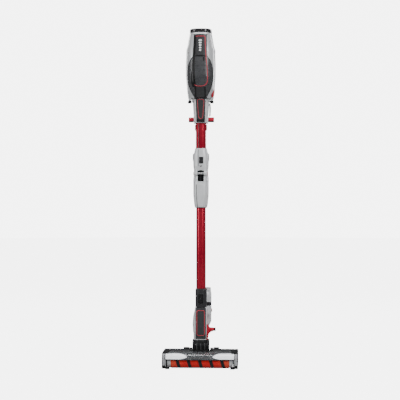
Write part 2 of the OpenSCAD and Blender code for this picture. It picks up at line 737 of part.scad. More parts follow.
// Smoked dust cup, with the opening that its door closes and the port that the duct feeds.
module dust_cup() color([0.2, 0.2, 0.22, 0.8]) difference() {
    intersection() {
        form(body_stack);
        along_y(-100, body_back) polygon(dark_front(0, 1, 141));
        box([-60, -100, z_body + 1.4], [60, 0, cup_top]);
    }
    difference() {
        intersection() {
            form(open_ended(body_stack), -2.4);
            along_y(-100, body_back - 2) polygon(dark_front(2.4, 1, 141));
        }
        box([-60, -100, z_body], [60, 0, z_body + 3.4]);
    }
    box([-19, -100, z_body + 2.6], [19, body_back - 2.2, z_body + 36.5]);
    box([-11, -30, z_body + 56], [11, 0, z_body + 75]);
    translate([0, -44, z_body + 100]) cylinder(r = 20.4, h = 80);
    rod_x(door_hinge, 2 + run, -24, 24);
    rod_x(door_hinge, 9, -19, 19);
}

module dust_cup_door() color("#333437") {
    difference() {
        intersection() {
            form(open_ended(body_stack));
            along_x(-18.7, 18.7) polygon([
                [-100, z_body + 3], [body_back - 9, z_body + 3], [body_back - 9, z_body + 8], [-59, z_body + 36.1],
                [-100, z_body + 36.1]]);
        }
        difference() {
            form(open_ended(body_stack), -3);
            rod_x(door_hinge, 3.2, -18.7, 18.7);
        }
    }
    both() rod_x(door_hinge, 2, 18.7, 21.5);
}

// Perforated cone that the dirty air circles before it climbs to the filter.
module cyclone_shroud() color("#6f7276") translate([0, -44, 0]) {
    difference() {
        translate([0, 0, z_body + 82]) cylinder(r = 20, h = 62);
        translate([0, 0, z_body + 84]) cylinder(r = 18.4, h = 70);
    }
}

module pre_motor_filter() color("#6e7f8c") translate([0, -30, z_body + 148])
    linear_extrude(9) polygon(rounded(56, 48, 18, 6));

motor_c = [0, -27];
module suction_motor() color("#9a9da1") translate([motor_c[0], motor_c[1], z_body + 159]) difference() {
    union() {
        cylinder(r = 28, h = 16);
        translate([0, 0, 16]) cylinder(r = 24, h = 42);
    }
    translate([0, 0, 2]) cylinder(r = 26, h = 12.4);
    translate([0, 0, -1]) cylinder(r = 9, h = 5);
    translate([0, 0, 14]) cylinder(r = 2.5 + run, h = 30);
}

module impeller() color("silver") translate([motor_c[0], motor_c[1], z_body + 162]) {
    cylinder(r = 24.5, h = 2);
    translate([0, 0, 2]) cylinder(r = 2.5, h = 30);
    for (k = [0:6]) rotate([0, 0, 360 * k / 7]) box([2, -0.6, 1], [24, 0.6, 10]);
}

module trigger() color("crimson") translate([0, 0, trigger_z])
    along_x(-6.5, 6.5) polygon([[60, -14], [71, -16.5], [75, -16.5], [75, 16.5], [70, 16.5], [62, 8], [61, 0]]);

module mode_button() color("#202124")
    translate([0, mode_c[0], mode_c[1] - 8]) cylinder(r = 5.1, h = 11.5);

module control_board() color("darkgreen") box([-26, 28, z_body + 34], [26, 29.6, z_body + 90]);

// It stands 2 mm proud of the shell, and follows its curve.
module door_release_button() color("crimson") intersection() {
    form(body_stack, 2);
    translate([39.2, button_c[0], button_c[1]]) rotate([0, 90, 0]) linear_extrude(13.8) polygon(rounded(28, 16, 5));
}

// Lithium battery: it slides in from the top, and its cap closes the body.
module battery_pack() color("#2b2c2f") difference() {
    union() {
        translate([0, -7, z_cap + gap]) linear_extrude(z_top - z_cap - gap) polygon(rounded(76, 92, 30, 8));
        translate([0, 17.4, z_body + 98]) linear_extrude(128 + gap) polygon(rounded(50, 30, 6));
    }
    translate([0, 50, z_cap + 7]) rotate([90, 0, 0]) cylinder(r = jack_r, h = 50 - jack_y);
}

module battery_latch() color("#18191b") box([41.4, -4, latch_z - 9], [50.4, 14, latch_z + 9]);

// Lever on the right of the collar: it swings about the pin through its head.
module wand_release_lever() color("whitesmoke") {
    along_y(-5, 5) polygon([
        [23.7, lever_z + 4.5], [29.3, lever_z + 4.5], [33.5, lever_z + 2], [35, lever_z - 12],
        [33.6, lever_z - 38], [28.6, lever_z - 43], [28.9, lever_z - 12], [28.4, lever_z + 0.5],
        [23.7, lever_z + 0.5]
    ]);
    rod_y(lever_pin, lever_pin_r, -8, 8);
}

nozzle_base();
nozzle_cover();
front_window();
headlights();
end_cap_left();
end_cap_right();
brush_motor();
drive_belts();
pivot_pins();
nozzle_screws();
window_latch_left();
window_latch_right();
soft_roller_core();
soft_roller_sleeve();
brush_roll_core();
brush_roll_bristles();
wheel_left();
wheel_right();
neck_yoke();
neck_hose();
neck_shell_front();
neck_shell_rear();
neck_panel();
neck_duct();
tool_bracket();
crevice_tool();
dusting_brush();
lower_wand_tube();
wand_foot();
flex_lower_front();
flex_lower_rear();
flex_pin();
flex_hose();
nozzle_release_button();
flex_upper_front();
flex_upper_rear();
upper_wand_tube();
accessory_clip();
flex_button_left();
flex_button_right();
side_shell_left();
side_shell_right();
rubber_pads();
spine_panel();
inlet_collar();
collar_panel();
dust_cup();
cyclone_shroud();
pre_motor_filter();
suction_motor();
impeller();
trigger();
mode_button();
control_board();
dust_cup_door();
door_release_button();
battery_pack();
battery_latch();
wand_release_lever();
body_screws();
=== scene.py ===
"""Looks of the cordless stick vacuum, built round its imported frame.

Lengths are in millimetres until a piece is made, and every place is worked out from the frame's boxes.
"""

import json
import math
import random

import bmesh
import bpy
import numpy as np
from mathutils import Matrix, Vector, noise


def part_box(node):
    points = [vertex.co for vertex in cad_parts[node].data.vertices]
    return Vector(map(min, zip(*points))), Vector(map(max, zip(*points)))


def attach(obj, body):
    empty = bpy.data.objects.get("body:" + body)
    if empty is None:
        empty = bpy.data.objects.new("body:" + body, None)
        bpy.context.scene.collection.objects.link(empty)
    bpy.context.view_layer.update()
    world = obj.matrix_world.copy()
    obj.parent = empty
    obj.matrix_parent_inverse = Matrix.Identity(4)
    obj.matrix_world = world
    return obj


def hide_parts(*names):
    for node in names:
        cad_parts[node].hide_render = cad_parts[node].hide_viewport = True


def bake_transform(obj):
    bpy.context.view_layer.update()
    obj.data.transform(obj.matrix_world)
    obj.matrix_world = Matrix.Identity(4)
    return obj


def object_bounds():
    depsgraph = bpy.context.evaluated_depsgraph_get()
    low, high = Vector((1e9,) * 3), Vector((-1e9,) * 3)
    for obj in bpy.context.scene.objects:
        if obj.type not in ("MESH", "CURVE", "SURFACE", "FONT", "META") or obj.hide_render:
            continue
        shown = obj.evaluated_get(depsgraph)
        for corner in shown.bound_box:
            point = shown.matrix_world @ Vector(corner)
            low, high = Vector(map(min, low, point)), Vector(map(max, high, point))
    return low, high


MM = 0.001
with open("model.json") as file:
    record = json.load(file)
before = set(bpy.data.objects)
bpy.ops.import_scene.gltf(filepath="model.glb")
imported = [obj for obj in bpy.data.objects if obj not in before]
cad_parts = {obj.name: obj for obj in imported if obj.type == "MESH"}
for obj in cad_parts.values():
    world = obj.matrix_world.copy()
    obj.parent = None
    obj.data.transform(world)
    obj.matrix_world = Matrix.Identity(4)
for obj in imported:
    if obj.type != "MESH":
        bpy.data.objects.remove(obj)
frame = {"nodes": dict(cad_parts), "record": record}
CAD_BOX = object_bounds()
random.seed(7)


# ---- places, from the frame ----


def low(node):
    return np.array(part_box(node)[0]) / MM


def high(node):
    return np.array(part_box(node)[1]) / MM


def middle(node):
    return (low(node) + high(node)) / 2


TOP = CAD_BOX[1].z / MM
BODY = TOP - 240
CAP = TOP - 14
COLLAR = low("inlet_collar")[2]
FLEX_TOP = high("flex_upper_rear")[2]
HINGE = middle("flex_pin")
FLEX = low("flex_lower_rear")[2]
WAND = high("wand_foot")[2]
FOOT = high("neck_shell_rear")[2]
NECK = low("neck_shell_rear")[2]
HEAD_X = high("end_cap_right")[0]
SIDE_X = low("end_cap_right")[0]
FRONT_Y = low("end_cap_right")[1]
REAR_Y = high("end_cap_right")[1]
HEAD_TOP = high("front_window")[2]
PLUSH = middle("soft_roller_sleeve")
BRUSH = middle("brush_roll_core")
WHEEL = middle("wheel_right")
TILT_Y = 12.0
TOOL = middle("dusting_brush")


# ---- curves and outlines ----


def full_turn(n):
    """Angles of n even steps round a circle, in radians."""
    return np.linspace(0, 2 * math.pi, n, endpoint=False)


def arc(centre, radius, start, end, n=12):
    """Points of an arc, angles in degrees."""
    return [
        (centre[0] + radius * math.cos(math.radians(a)), centre[1] + radius * math.sin(math.radians(a)))
        for a in np.linspace(start, end, n + 1)
    ]


def rounded(width, depth, radius, centre=(0, 0), n=8):
    """Outline of a rectangle with round corners."""
    cx, cy = centre
    w, d = width / 2 - radius, depth / 2 - radius
    corners = [(w, d, 0), (-w, d, 90), (-w, -d, 180), (w, -d, 270)]
    return [p for x, y, a in corners for p in arc((cx + x, cy + y), radius, a, a + 90, n)]


def spline(points, per=8, closed=False):
    """A smooth curve through points of any dimension."""
    p = np.array(points, float)
    count = len(p)
    out = []
    for k in range(count if closed else count - 1):
        if closed:
            a, b, c, d = (p[(k + j) % count] for j in (-1, 0, 1, 2))
        else:
            b, c = p[k], p[k + 1]
            a = p[k - 1] if k else 2 * b - c
            d = p[k + 2] if k + 2 < count else 2 * c - b
        for t in np.arange(per) / per:
            out.append(
                0.5 * (2 * b + (c - a) * t + (2 * a - 5 * b + 4 * c - d) * t**2 + (3 * b - a - 3 * c + d) * t**3)
            )
    if not closed:
        out.append(p[-1])
    return np.array(out)


def even(points, step, closed=False):
    """The same line with its points a step apart."""
    p = np.array(points, float)
    if closed:
        p = np.vstack([p, p[:1]])
    run = np.concatenate([[0], np.cumsum(np.linalg.norm(np.diff(p, axis=0), axis=1))])
    count = max(int(round(run[-1] / step)), 2)
    at = np.linspace(0, run[-1], count + 1)
    if closed:
        at = at[:-1]
    return np.stack([np.interp(at, run, p[:, i]) for i in range(p.shape[1])], axis=1)


class Curve:
    """Values read smoothly, without overshoot, between rows of [place, values...]."""

    def __init__(self, rows):
        rows = np.array(rows, float)
        self.x, self.y = rows[:, 0], rows[:, 1:]
        h = np.diff(self.x)[:, None]
        d = np.diff(self.y, axis=0) / h
        m = np.zeros_like(self.y)
        m[0], m[-1] = d[0], d[-1]
        same = d[:-1] * d[1:] > 0
        with np.errstate(divide="ignore", invalid="ignore"):
            mean = 2 * d[:-1] * d[1:] / (d[:-1] + d[1:])
        m[1:-1] = np.where(same, mean, 0)
        self.m = m

    def __call__(self, at):
        at = min(max(at, self.x[0]), self.x[-1])
        k = min(int(np.searchsorted(self.x, at, side="right")) - 1, len(self.x) - 2)
        h = self.x[k + 1] - self.x[k]
        t = (at - self.x[k]) / h
        return (
            (1 + 2 * t) * (1 - t) ** 2 * self.y[k]
            + t * (1 - t) ** 2 * h * self.m[k]
            + t * t * (3 - 2 * t) * self.y[k + 1]
            - t * t * (1 - t) * h * self.m[k + 1]
        )


FORM_E = 2.6  # exponent of a form's sections, where 2 is an ellipse


class Form:
    """A moulding's skin through stations of [z, half width, front y, back y]."""

    def __init__(self, stations):
        self.z0, self.z1 = stations[0][0], stations[-1][0]
        self.curve = Curve(stations)

    def ring(self, z, grow=0.0, n=96):
        hw, front, back = self.curve(z)
        a = full_turn(n)
        c, s = np.cos(a), np.sin(a)
        x = (hw + grow) * np.sign(c) * np.abs(c) ** (2 / FORM_E)
        y = (front + back) / 2 + ((back - front) / 2 + grow) * np.sign(s) * np.abs(s) ** (2 / FORM_E)
        return np.stack([x, y, np.full(n, z)], axis=1)

    def front(self, x, z, grow=0.0):
        """The front skin's y at x and z."""
        hw, front, back = self.curve(z)
        u = min(abs(x) / (hw + grow), 0.999)
        return (front + back) / 2 - ((back - front) / 2 + grow) * (1 - u**FORM_E) ** (1 / FORM_E)

    def side(self, y, z, grow=0.0):
        """The right skin's x at y and z."""
        hw, front, back = self.curve(z)
        v = min(abs(y - (front + back) / 2) / ((back - front) / 2 + grow), 0.999)
        return (hw + grow) * (1 - v**FORM_E) ** (1 / FORM_E)


# ---- closed solids, as meshes in millimetres ----


def put(obj):
    """Link an object into the scene."""
    bpy.context.scene.collection.objects.link(obj)


def solid(points, faces):
    mesh = bpy.data.meshes.new("solid")
    mesh.from_pydata([tuple(map(float, p)) for p in points], [], faces)
    bm = bmesh.new()
    bm.from_mesh(mesh)
    bmesh.ops.remove_doubles(bm, verts=bm.verts, dist=1e-4)
    bmesh.ops.dissolve_degenerate(bm, edges=bm.edges, dist=1e-5)
    bmesh.ops.recalc_face_normals(bm, faces=bm.faces)
    bm.to_mesh(mesh)
    bm.free()
    return mesh


def loft(rings, closed=False):
    """A solid through rings of equal length, capped at both ends or run round to its start."""
    n = len(rings[0])
    points = [p for ring in rings for p in ring]
    spans = len(rings) if closed else len(rings) - 1
    faces = []
    for k in range(spans):
        a, b = k * n, (k + 1) % len(rings) * n
        faces += [(a + i, a + (i + 1) % n, b + (i + 1) % n, b + i) for i in range(n)]
    if not closed:
        faces += [tuple(range(n - 1, -1, -1)), tuple(range(len(points) - n, len(points)))]
    return solid(points, faces)


def rounding(radius, steps=4):
    """Pairs of (inset, depth) that turn an edge over in a quarter circle."""
    angles = np.linspace(0, math.pi / 2, steps + 1)
    return [(radius * (1 - math.sin(a)), radius * (1 - math.cos(a))) for a in angles]


def form_solid(form, z0=None, z1=None, grow=0.0, edge=0.0, n=96, step=2.5, over=0.0):
    """The form from z0 to z1, with rounded rims, or carried on past its ends by over."""
    z0 = form.z0 if z0 is None else z0
    z1 = form.z1 if z1 is None else z1
    rows = []
    if edge:
        rows += [(z0 + depth, grow - inset) for inset, depth in rounding(edge)]
    elif over:
        rows += [(z0 - over, grow)]
    count = max(int((z1 - z0 - 2 * edge) / step), 1)
    rows += [(z, grow) for z in np.linspace(z0 + edge, z1 - edge, count + 1)]
    if edge:
        rows += [(z1 - depth, grow - inset) for inset, depth in reversed(rounding(edge))]
    elif over:
        rows += [(z1 + over, grow)]
    rings = []
    for z, g in rows:
        ring = form.ring(min(max(z, form.z0), form.z1), g, n)
        ring[:, 2] = z
        rings.append(ring)
    return loft(rings)


def form_skin(form, edge, n=96):
    """The form as a shell of even thickness, open at both ends."""
    return minus(form_solid(form, edge=edge, n=n), form_solid(form, grow=-SHELL, over=6, n=n))


def inset_outline(outline, by):
    """The outline moved inwards along its corners' normals."""
    p = np.array(outline, float)
    area = 0.5 * np.sum(p[:, 0] * np.roll(p[:, 1], -1) - np.roll(p[:, 0], -1) * p[:, 1])
    before, after = p - np.roll(p, 1, axis=0), np.roll(p, -1, axis=0) - p
    before /= np.maximum(np.linalg.norm(before, axis=1), 1e-9)[:, None]
    after /= np.maximum(np.linalg.norm(after, axis=1), 1e-9)[:, None]
    turn = before + after
    turn /= np.maximum(np.linalg.norm(turn, axis=1), 1e-9)[:, None]
    normal = np.stack([-turn[:, 1], turn[:, 0]], axis=1) * (1 if area > 0 else -1)
    stretch = 1 / np.clip(np.sum(turn * after, axis=1), 0.5, 1)
    return p + normal * by * stretch[:, None]


def prism(axis, outline, a, b, edge=0.0, steps=3):
    """An outline drawn out along an axis, its two rims turned over by edge.
    The outline is (y, z) along x, (x, z) along y and (x, y) along z."""
    a, b = min(a, b), max(a, b)
    levels = [(a, 0), (b, 0)]
    if edge:
        turned = rounding(edge, steps)
        levels = [(a + d, i) for i, d in turned] + [(b - d, i) for i, d in reversed(turned)]
    rings = []
    for level, inset in levels:
        flat = inset_outline(outline, inset) if inset else np.array(outline, float)
        along = np.full(len(flat), level)
        order = {"x": (along, flat[:, 0], flat[:, 1]), "y": (flat[:, 0], along, flat[:, 1])}
        rings.append(np.stack(order.get(axis, (flat[:, 0], flat[:, 1], along)), axis=1))
    return loft(rings)


def block(lo, hi, edge=0.0):
    """A box with its edges along z rounded by edge, and its rims too."""
    if not edge:
        outline = [(lo[0], lo[1]), (hi[0], lo[1]), (hi[0], hi[1]), (lo[0], hi[1])]
        return prism("z", outline, lo[2], hi[2])
    centre = ((lo[0] + hi[0]) / 2, (lo[1] + hi[1]) / 2)
    outline = rounded(hi[0] - lo[0], hi[1] - lo[1], edge, centre, 4)
    return prism("z", outline, lo[2], hi[2], edge * 0.98)


def rod(axis, centre, radius, a, b, edge=0.0, n=48):
    """A round bar along an axis about a centre given in the other two coordinates."""
    return prism(axis, arc(centre, radius, 0, 360, n)[:-1], a, b, edge)


def turned(profile, axis, centre, n=64):
    """A ring turned from a closed (place along the axis, radius) profile."""
    rings = []
    for a in full_turn(n):
        u, v = math.cos(a), math.sin(a)
        ring = []
        for t, r in profile:
            p, q = centre[0] + r * u, centre[1] + r * v
            ring.append({"x": (t, p, q), "y": (p, t, q), "z": (p, q, t)}[axis])
        rings.append(ring)
    return loft(rings, closed=True)


def pipe(path, radius, closed=False, n=12, flat=1.0, up=(0, -1, 0)):
    """A rounded bead along a path; flat squeezes it towards up. Open ends close in domes."""
    p = np.array(path, float)
    if closed:
        along = np.roll(p, -1, axis=0) - np.roll(p, 1, axis=0)
    else:
        along = np.gradient(p, axis=0)
    along /= np.linalg.norm(along, axis=1)[:, None]
    up = np.array(up, float)
    sizes, centres, frames = [], [], []
    for k in range(len(p)):
        side = np.cross(along[k], up)
        side /= np.linalg.norm(side)
        frames.append((side, np.cross(side, along[k])))
        centres.append(p[k])
        sizes.append(1.0)
    if not closed:
        for end, sign in ((0, -1), (-1, 1)):
            dome = [
                (centres[end] + sign * along[end] * radius * math.sin(a), math.cos(a) + 0.02, frames[end])
                for a in np.linspace(0.3, math.pi / 2, 4)
            ]
            for c, s, f in dome:
                if end == 0:
                    centres.insert(0, c)
                    sizes.insert(0, s)
                    frames.insert(0, f)
                else:
                    centres.append(c)
                    sizes.append(s)
                    frames.append(f)
    rings = []
    for c, s, (side, top) in zip(centres, sizes, frames):
        rings.append(
            [
                c + radius * s * (math.cos(a) * side + flat * math.sin(a) * top)
                for a in full_turn(n)
            ]
        )
    return loft(rings, closed)


def sheet_solid(grid_out, grid_in):
    """A closed solid between two grids of the same shape, [row][column][xyz]."""
    out, inn = np.array(grid_out, float), np.array(grid_in, float)
    rows, cols = out.shape[:2]
    points = list(out.reshape(-1, 3)) + list(inn.reshape(-1, 3))
    half = rows * cols

    def at(r, c):
        return r * cols + c

    faces = []
    for r in range(rows - 1):
        for c in range(cols - 1):
            quad = (at(r, c), at(r, c + 1), at(r + 1, c + 1), at(r + 1, c))
            faces += [quad, tuple(half + i for i in reversed(quad))]
    rim = [at(0, c) for c in range(cols)] + [at(r, cols - 1) for r in range(1, rows)]
    rim += [at(rows - 1, c) for c in range(cols - 2, -1, -1)] + [at(r, 0) for r in range(rows - 2, 0, -1)]
    for k, i in enumerate(rim):
        j = rim[(k + 1) % len(rim)]
        faces.append((i, j, half + j, half + i))
    return solid(points, faces)


def combine(kind, first, *others):
    """Union, difference or intersection of solids."""
    result = first
    for other in others:
        if isinstance(other, (list, tuple)):
            result = combine(kind, result, *other)
            continue
        host = bpy.data.objects.new("host", result)
        tool = bpy.data.objects.new("tool", other)
        for o in (host, tool):
            put(o)
        step = host.modifiers.new("step", "BOOLEAN")
        step.operation, step.object, step.solver = kind, tool, "MANIFOLD"
        graph = bpy.context.evaluated_depsgraph_get()
        result = bpy.data.meshes.new_from_object(host.evaluated_get(graph))
        for o in (host, tool):
            bpy.data.objects.remove(o)
    return result


def join(first, *others):
    return combine("UNION", first, *others)


def minus(first, *others):
    return combine("DIFFERENCE", first, *others)


def common(first, *others):
    return combine("INTERSECT", first, *others)


def gather(*meshes):
    """Separate solids held in one mesh."""
    bm = bmesh.new()
    for mesh in meshes:
        bm.from_mesh(mesh)
    mesh = bpy.data.meshes.new("group")
    bm.to_mesh(mesh)
    bm.free()
    return mesh


def mirrored(mesh):
    """The mirror image across x = 0."""
    copy = mesh.copy()
    bm = bmesh.new()
    bm.from_mesh(copy)
    for v in bm.verts:
        v.co.x = -v.co.x
    bmesh.ops.reverse_faces(bm, faces=bm.faces)
    bm.to_mesh(copy)
    bm.free()
    return copy


def both(mesh):
    return gather(mesh, mirrored(mesh))


SHARP = math.radians(38)


def piece(name, mesh, body, material, replaces=(), second=None, rule=None, blend=None, slot=None):
    """A finished piece from a solid: shaded, dressed, and riding on its body.
    Faces whose centre passes the rule take the second material."""
    slot = slot or SLOT_OF.get(material, material)
    bm = bmesh.new()
    bm.from_mesh(mesh)
    bmesh.ops.scale(bm, vec=(MM, MM, MM), verts=bm.verts)
    for face in bm.faces:
        face.smooth = True
        centre = face.calc_center_median() / MM
        face.material_index = 1 if rule and rule(centre, face.normal) else 0
    for edge in bm.edges:
        edge.smooth = len(edge.link_faces) != 2 or edge.calc_face_angle(0) < SHARP
    done = bpy.data.meshes.new(name)
    bm.to_mesh(done)
    bm.free()
    done.materials.append(MATERIALS[material])
    if rule:
        done.materials.append(MATERIALS[second])
    obj = bpy.data.objects.new(name, done)
    put(obj)
    if replaces:
        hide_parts(*replaces)
    if blend:
        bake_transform(obj)
    else:
        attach(obj, body)


# ---- materials ----


MATERIALS = {}


class Nodes:
    """A short way to build a material's node tree."""

    def __init__(self, name):
        self.material = MATERIALS[name] = bpy.data.materials.new(name)
        self.material.use_nodes = True
        self.tree = self.material.node_tree
        self.tree.nodes.clear()
        self.out = self.add("OutputMaterial")
        self.shader = self.add("BsdfPrincipled")
        self.link(self.shader, "BSDF", self.out, "Surface")
        self.place = self.add("TexCoord").outputs["Object"]

    def add(self, kind, **settings):
        node = self.tree.nodes.new("ShaderNode" + kind)
        for key, value in settings.items():
            setattr(node, key, value)
        return node

    def link(self, a, out, b, into):
        self.tree.links.new(a.outputs[out], b.inputs[into])

    def set(self, **values):
        for key, value in values.items():
            self.shader.inputs[key.replace("_", " ")].default_value = value

    def noise(self, scale, detail=3.0, rough=0.5, stretch=(1, 1, 1)):
        mapping = self.add("Mapping")
        mapping.inputs["Scale"].default_value = stretch
        self.tree.links.new(self.place, mapping.inputs["Vector"])
        node = self.add("TexNoise")
        node.inputs["Scale"].default_value = scale
        node.inputs["Detail"].default_value = detail
        node.inputs["Roughness"].default_value = rough
        self.link(mapping, "Vector", node, "Vector")
        return node.outputs["Fac"]

    def map(self, value, low, high, out_low, out_high):
        node = self.add("MapRange")
        for key, number in zip(("From Min", "From Max", "To Min", "To Max"), (low, high, out_low, out_high)):
            node.inputs[key].default_value = number
        self.tree.links.new(value, node.inputs["Value"])
        return node.outputs["Result"]

    def math(self, operation, a, b=None):
        node = self.add("Math", operation=operation)
        for index, value in enumerate((a, b)):
            if isinstance(value, (int, float)):
                node.inputs[index].default_value = value
            elif value is not None:
                self.tree.links.new(value, node.inputs[index])
        return node.outputs["Value"]

    def mix(self, factor, a, b):
        node = self.add("Mix", data_type="RGBA")
        self.tree.links.new(factor, node.inputs["Factor"])
        for key, value in ((6, a), (7, b)):
            if isinstance(value, tuple):
                node.inputs[key].default_value = (*value, 1)
            else:
                self.tree.links.new(value, node.inputs[key])
        return node.outputs[2]

    def into(self, value, socket):
        self.tree.links.new(value, self.shader.inputs[socket])

    def relief(self, height, strength, distance, rounded_by=0.0004):
        """Bump from a height, on a normal whose edges are rounded."""
        bump = self.add("Bump")
        bump.inputs["Strength"].default_value = strength
        bump.inputs["Distance"].default_value = distance
        self.tree.links.new(height, bump.inputs["Height"])
        if rounded_by:
            soft = self.add("Bevel", samples=4)
            soft.inputs["Radius"].default_value = rounded_by
            self.link(soft, "Normal", bump, "Normal")
        self.link(bump, "Normal", self.shader, "Normal")

    def edges(self, radius=0.0009):
        """1 on flat stretches and less along edges, from how far a rounded normal leans."""
        soft = self.add("Bevel", samples=4)
        soft.inputs["Radius"].default_value = radius
        plain = self.add("NewGeometry")
        dot = self.add("VectorMath", operation="DOT_PRODUCT")
        self.link(soft, "Normal", dot, 0)
        self.link(plain, "Normal", dot, 1)
        return dot.outputs["Value"]


def shade(colour, by):
    return tuple(min(max(c * by, 0.0), 1.0) for c in colour)


GRAIN_SCALE = 2600


def moulded(name, colour, rough=0.35, grain=0.15, vary=0.06, edge_wear_and_highlight=0.12, coat=0.0, metallic=0.0):
    """Moulded plastic: a fine spark-eroded grain, faint colour drift, and edges made paler, partly as worn plastic and
    partly as a painted highlight.
    """
    m = Nodes(name)
    drift = m.noise(14, 4)
    tone = m.mix(m.map(drift, 0.3, 0.7, 0, 1), shade(colour, 1 - vary), shade(colour, 1 + vary))
    # Edges turn towards a paler tone: partly worn plastic, partly a painted highlight along them.
    rubbed_and_highlit = m.map(m.edges(), 0.80, 0.99, edge_wear_and_highlight, 0)
    lighter = tuple(min(c * 1.4 + 0.03, 0.95) for c in colour)
    m.into(m.mix(rubbed_and_highlit, tone, lighter), "Base Color")
    smudge = m.noise(38, 5, 0.62)
    m.into(m.map(smudge, 0.35, 0.7, rough * 0.88, rough * 1.14), "Roughness")
    m.relief(m.noise(GRAIN_SCALE, 2), grain, 0.00006)
    m.set(Metallic=metallic, Coat_Weight=coat, Coat_Roughness=0.08, Specular_IOR_Level=0.32)


def anodised(name, colour, rough=0.27):
    """Anodised drawn tube: dyed metal with fine lines along it."""
    m = Nodes(name)
    lines = m.noise(900, 3, 0.6, (1, 1, 0.012))
    m.into(m.mix(m.map(lines, 0.3, 0.7, 0, 1), shade(colour, 0.86), shade(colour, 1.12)), "Base Color")
    m.into(m.map(m.noise(30, 4, 0.6, (1, 1, 0.25)), 0.3, 0.7, rough * 0.85, rough * 1.2), "Roughness")
    m.relief(lines, 0.10, 0.00004, 0)
    m.set(Metallic=0.72, Coat_Weight=0.25, Coat_Roughness=0.12)


def rubber(name, colour, rough=0.72):
    m = Nodes(name)
    m.into(m.mix(m.map(m.noise(45, 5), 0.35, 0.65, 0, 1), shade(colour, 0.8), shade(colour, 1.35)), "Base Color")
    m.into(m.map(m.noise(180, 4), 0.3, 0.7, rough * 0.9, rough * 1.1), "Roughness")
    m.relief(m.noise(1500, 3), 0.35, 0.00012, 0)
    m.set(Sheen_Weight=0.05, Sheen_Roughness=0.5, Specular_IOR_Level=0.3)


def clear(name, colour, rough, through):
    """Transparent moulding, tinted by its own colour."""
    m = Nodes(name)
    m.into(m.mix(m.map(m.noise(9, 3), 0.3, 0.7, 0, 1), shade(colour, 0.94), shade(colour, 1.05)), "Base Color")
    m.into(m.map(m.noise(60, 4), 0.35, 0.7, rough * 0.7, rough * 1.8), "Roughness")
    m.set(Transmission_Weight=through, IOR=1.46, Coat_Weight=0.12, Coat_Roughness=0.10)


def lamp(name, colour, glow):
    """Frosted lens over a row of lamps."""
    m = Nodes(name)
    rows = m.noise(70, 2, 0.5, (1, 0.2, 0.2))
    tone = m.mix(m.map(rows, 0.35, 0.65, 0, 1), shade(colour, 0.92), colour)
    m.into(tone, "Base Color")
    m.into(tone, "Emission Color")
    m.into(m.map(m.noise(400, 2), 0, 1, 0.2, 0.32), "Roughness")
    m.set(Emission_Strength=glow, Coat_Weight=0.6)


def metal(name, colour, rough=0.3, along=(1, 1, 1)):
    m = Nodes(name)
    lines = m.noise(700, 4, 0.6, along)
    m.into(m.mix(m.map(lines, 0.3, 0.7, 0, 1), shade(colour, 0.8), shade(colour, 1.15)), "Base Color")
    m.into(m.map(m.noise(90, 4), 0.3, 0.7, rough * 0.75, rough * 1.3), "Roughness")
    m.relief(lines, 0.12, 0.00005)
    m.set(Metallic=1.0)


STRIPE_PITCH = 38.0
STRIPE_WIDTH = 12.0


def plush(name, colour, stripe):
    """Short plush with one dark stripe wound round it as a helix about the roller's axis, and painted orange lamp light
    towards both ends.
    """
    m = Nodes(name)
    split = m.add("SeparateXYZ")
    m.tree.links.new(m.place, split.inputs[0])
    x, y, z = (split.outputs[k] for k in range(3))
    dy = m.math("SUBTRACT", y, PLUSH[1] * MM)
    dz = m.math("SUBTRACT", z, PLUSH[2] * MM)
    turn = m.math("DIVIDE", m.math("ARCTAN2", m.math("MULTIPLY", dy, -1.0), dz), 2 * math.pi)
    along = m.math("DIVIDE", m.math("ADD", x, 0.0095), STRIPE_PITCH * MM)
    wobble = m.math("MULTIPLY", m.math("SUBTRACT", m.noise(260, 3), 0.5), 0.05)
    phase = m.math("ADD", m.math("SUBTRACT", along, turn), wobble)
    off = m.math("ABSOLUTE", m.math("SUBTRACT", m.math("FRACT", m.math("ADD", phase, 0.5)), 0.5))
    half = STRIPE_WIDTH / STRIPE_PITCH / 2
    dark = m.map(off, half * 0.8, half * 1.15, 1, 0)
    pile = m.map(m.noise(1100, 4, 0.7), 0.25, 0.75, 0, 1)
    red = m.mix(pile, shade(colour, 0.62), shade(colour, 1.25))
    # Painted lamp light: the nap turns orange towards both ends, as if lit by the head's lamps.
    ends = m.map(m.math("ABSOLUTE", x), 0.055, 0.098, 0, 0.5)
    red = m.mix(ends, red, (0.80, 0.13, 0.055))
    grey = m.mix(pile, shade(stripe, 0.7), shade(stripe, 1.4))
    m.into(m.mix(dark, red, grey), "Base Color")
    m.into(m.map(pile, 0, 1, 0.78, 0.95), "Roughness")
    m.relief(m.noise(1500, 4, 0.75), 0.8, 0.0005, 0)
    m.set(Sheen_Weight=0.15, Sheen_Roughness=0.45, Specular_IOR_Level=0.2)


def foam(name, colour):
    m = Nodes(name)
    pores = m.add("TexVoronoi")
    pores.inputs["Scale"].default_value = 620
    m.tree.links.new(m.place, pores.inputs["Vector"])
    m.into(m.mix(m.map(pores.outputs["Distance"], 0, 0.7, 1, 0), colour, shade(colour, 0.35)), "Base Color")
    m.into(m.map(m.noise(300, 3), 0, 1, 0.85, 1.0), "Roughness")
    m.relief(pores.outputs["Distance"], 0.7, 0.0004, 0)


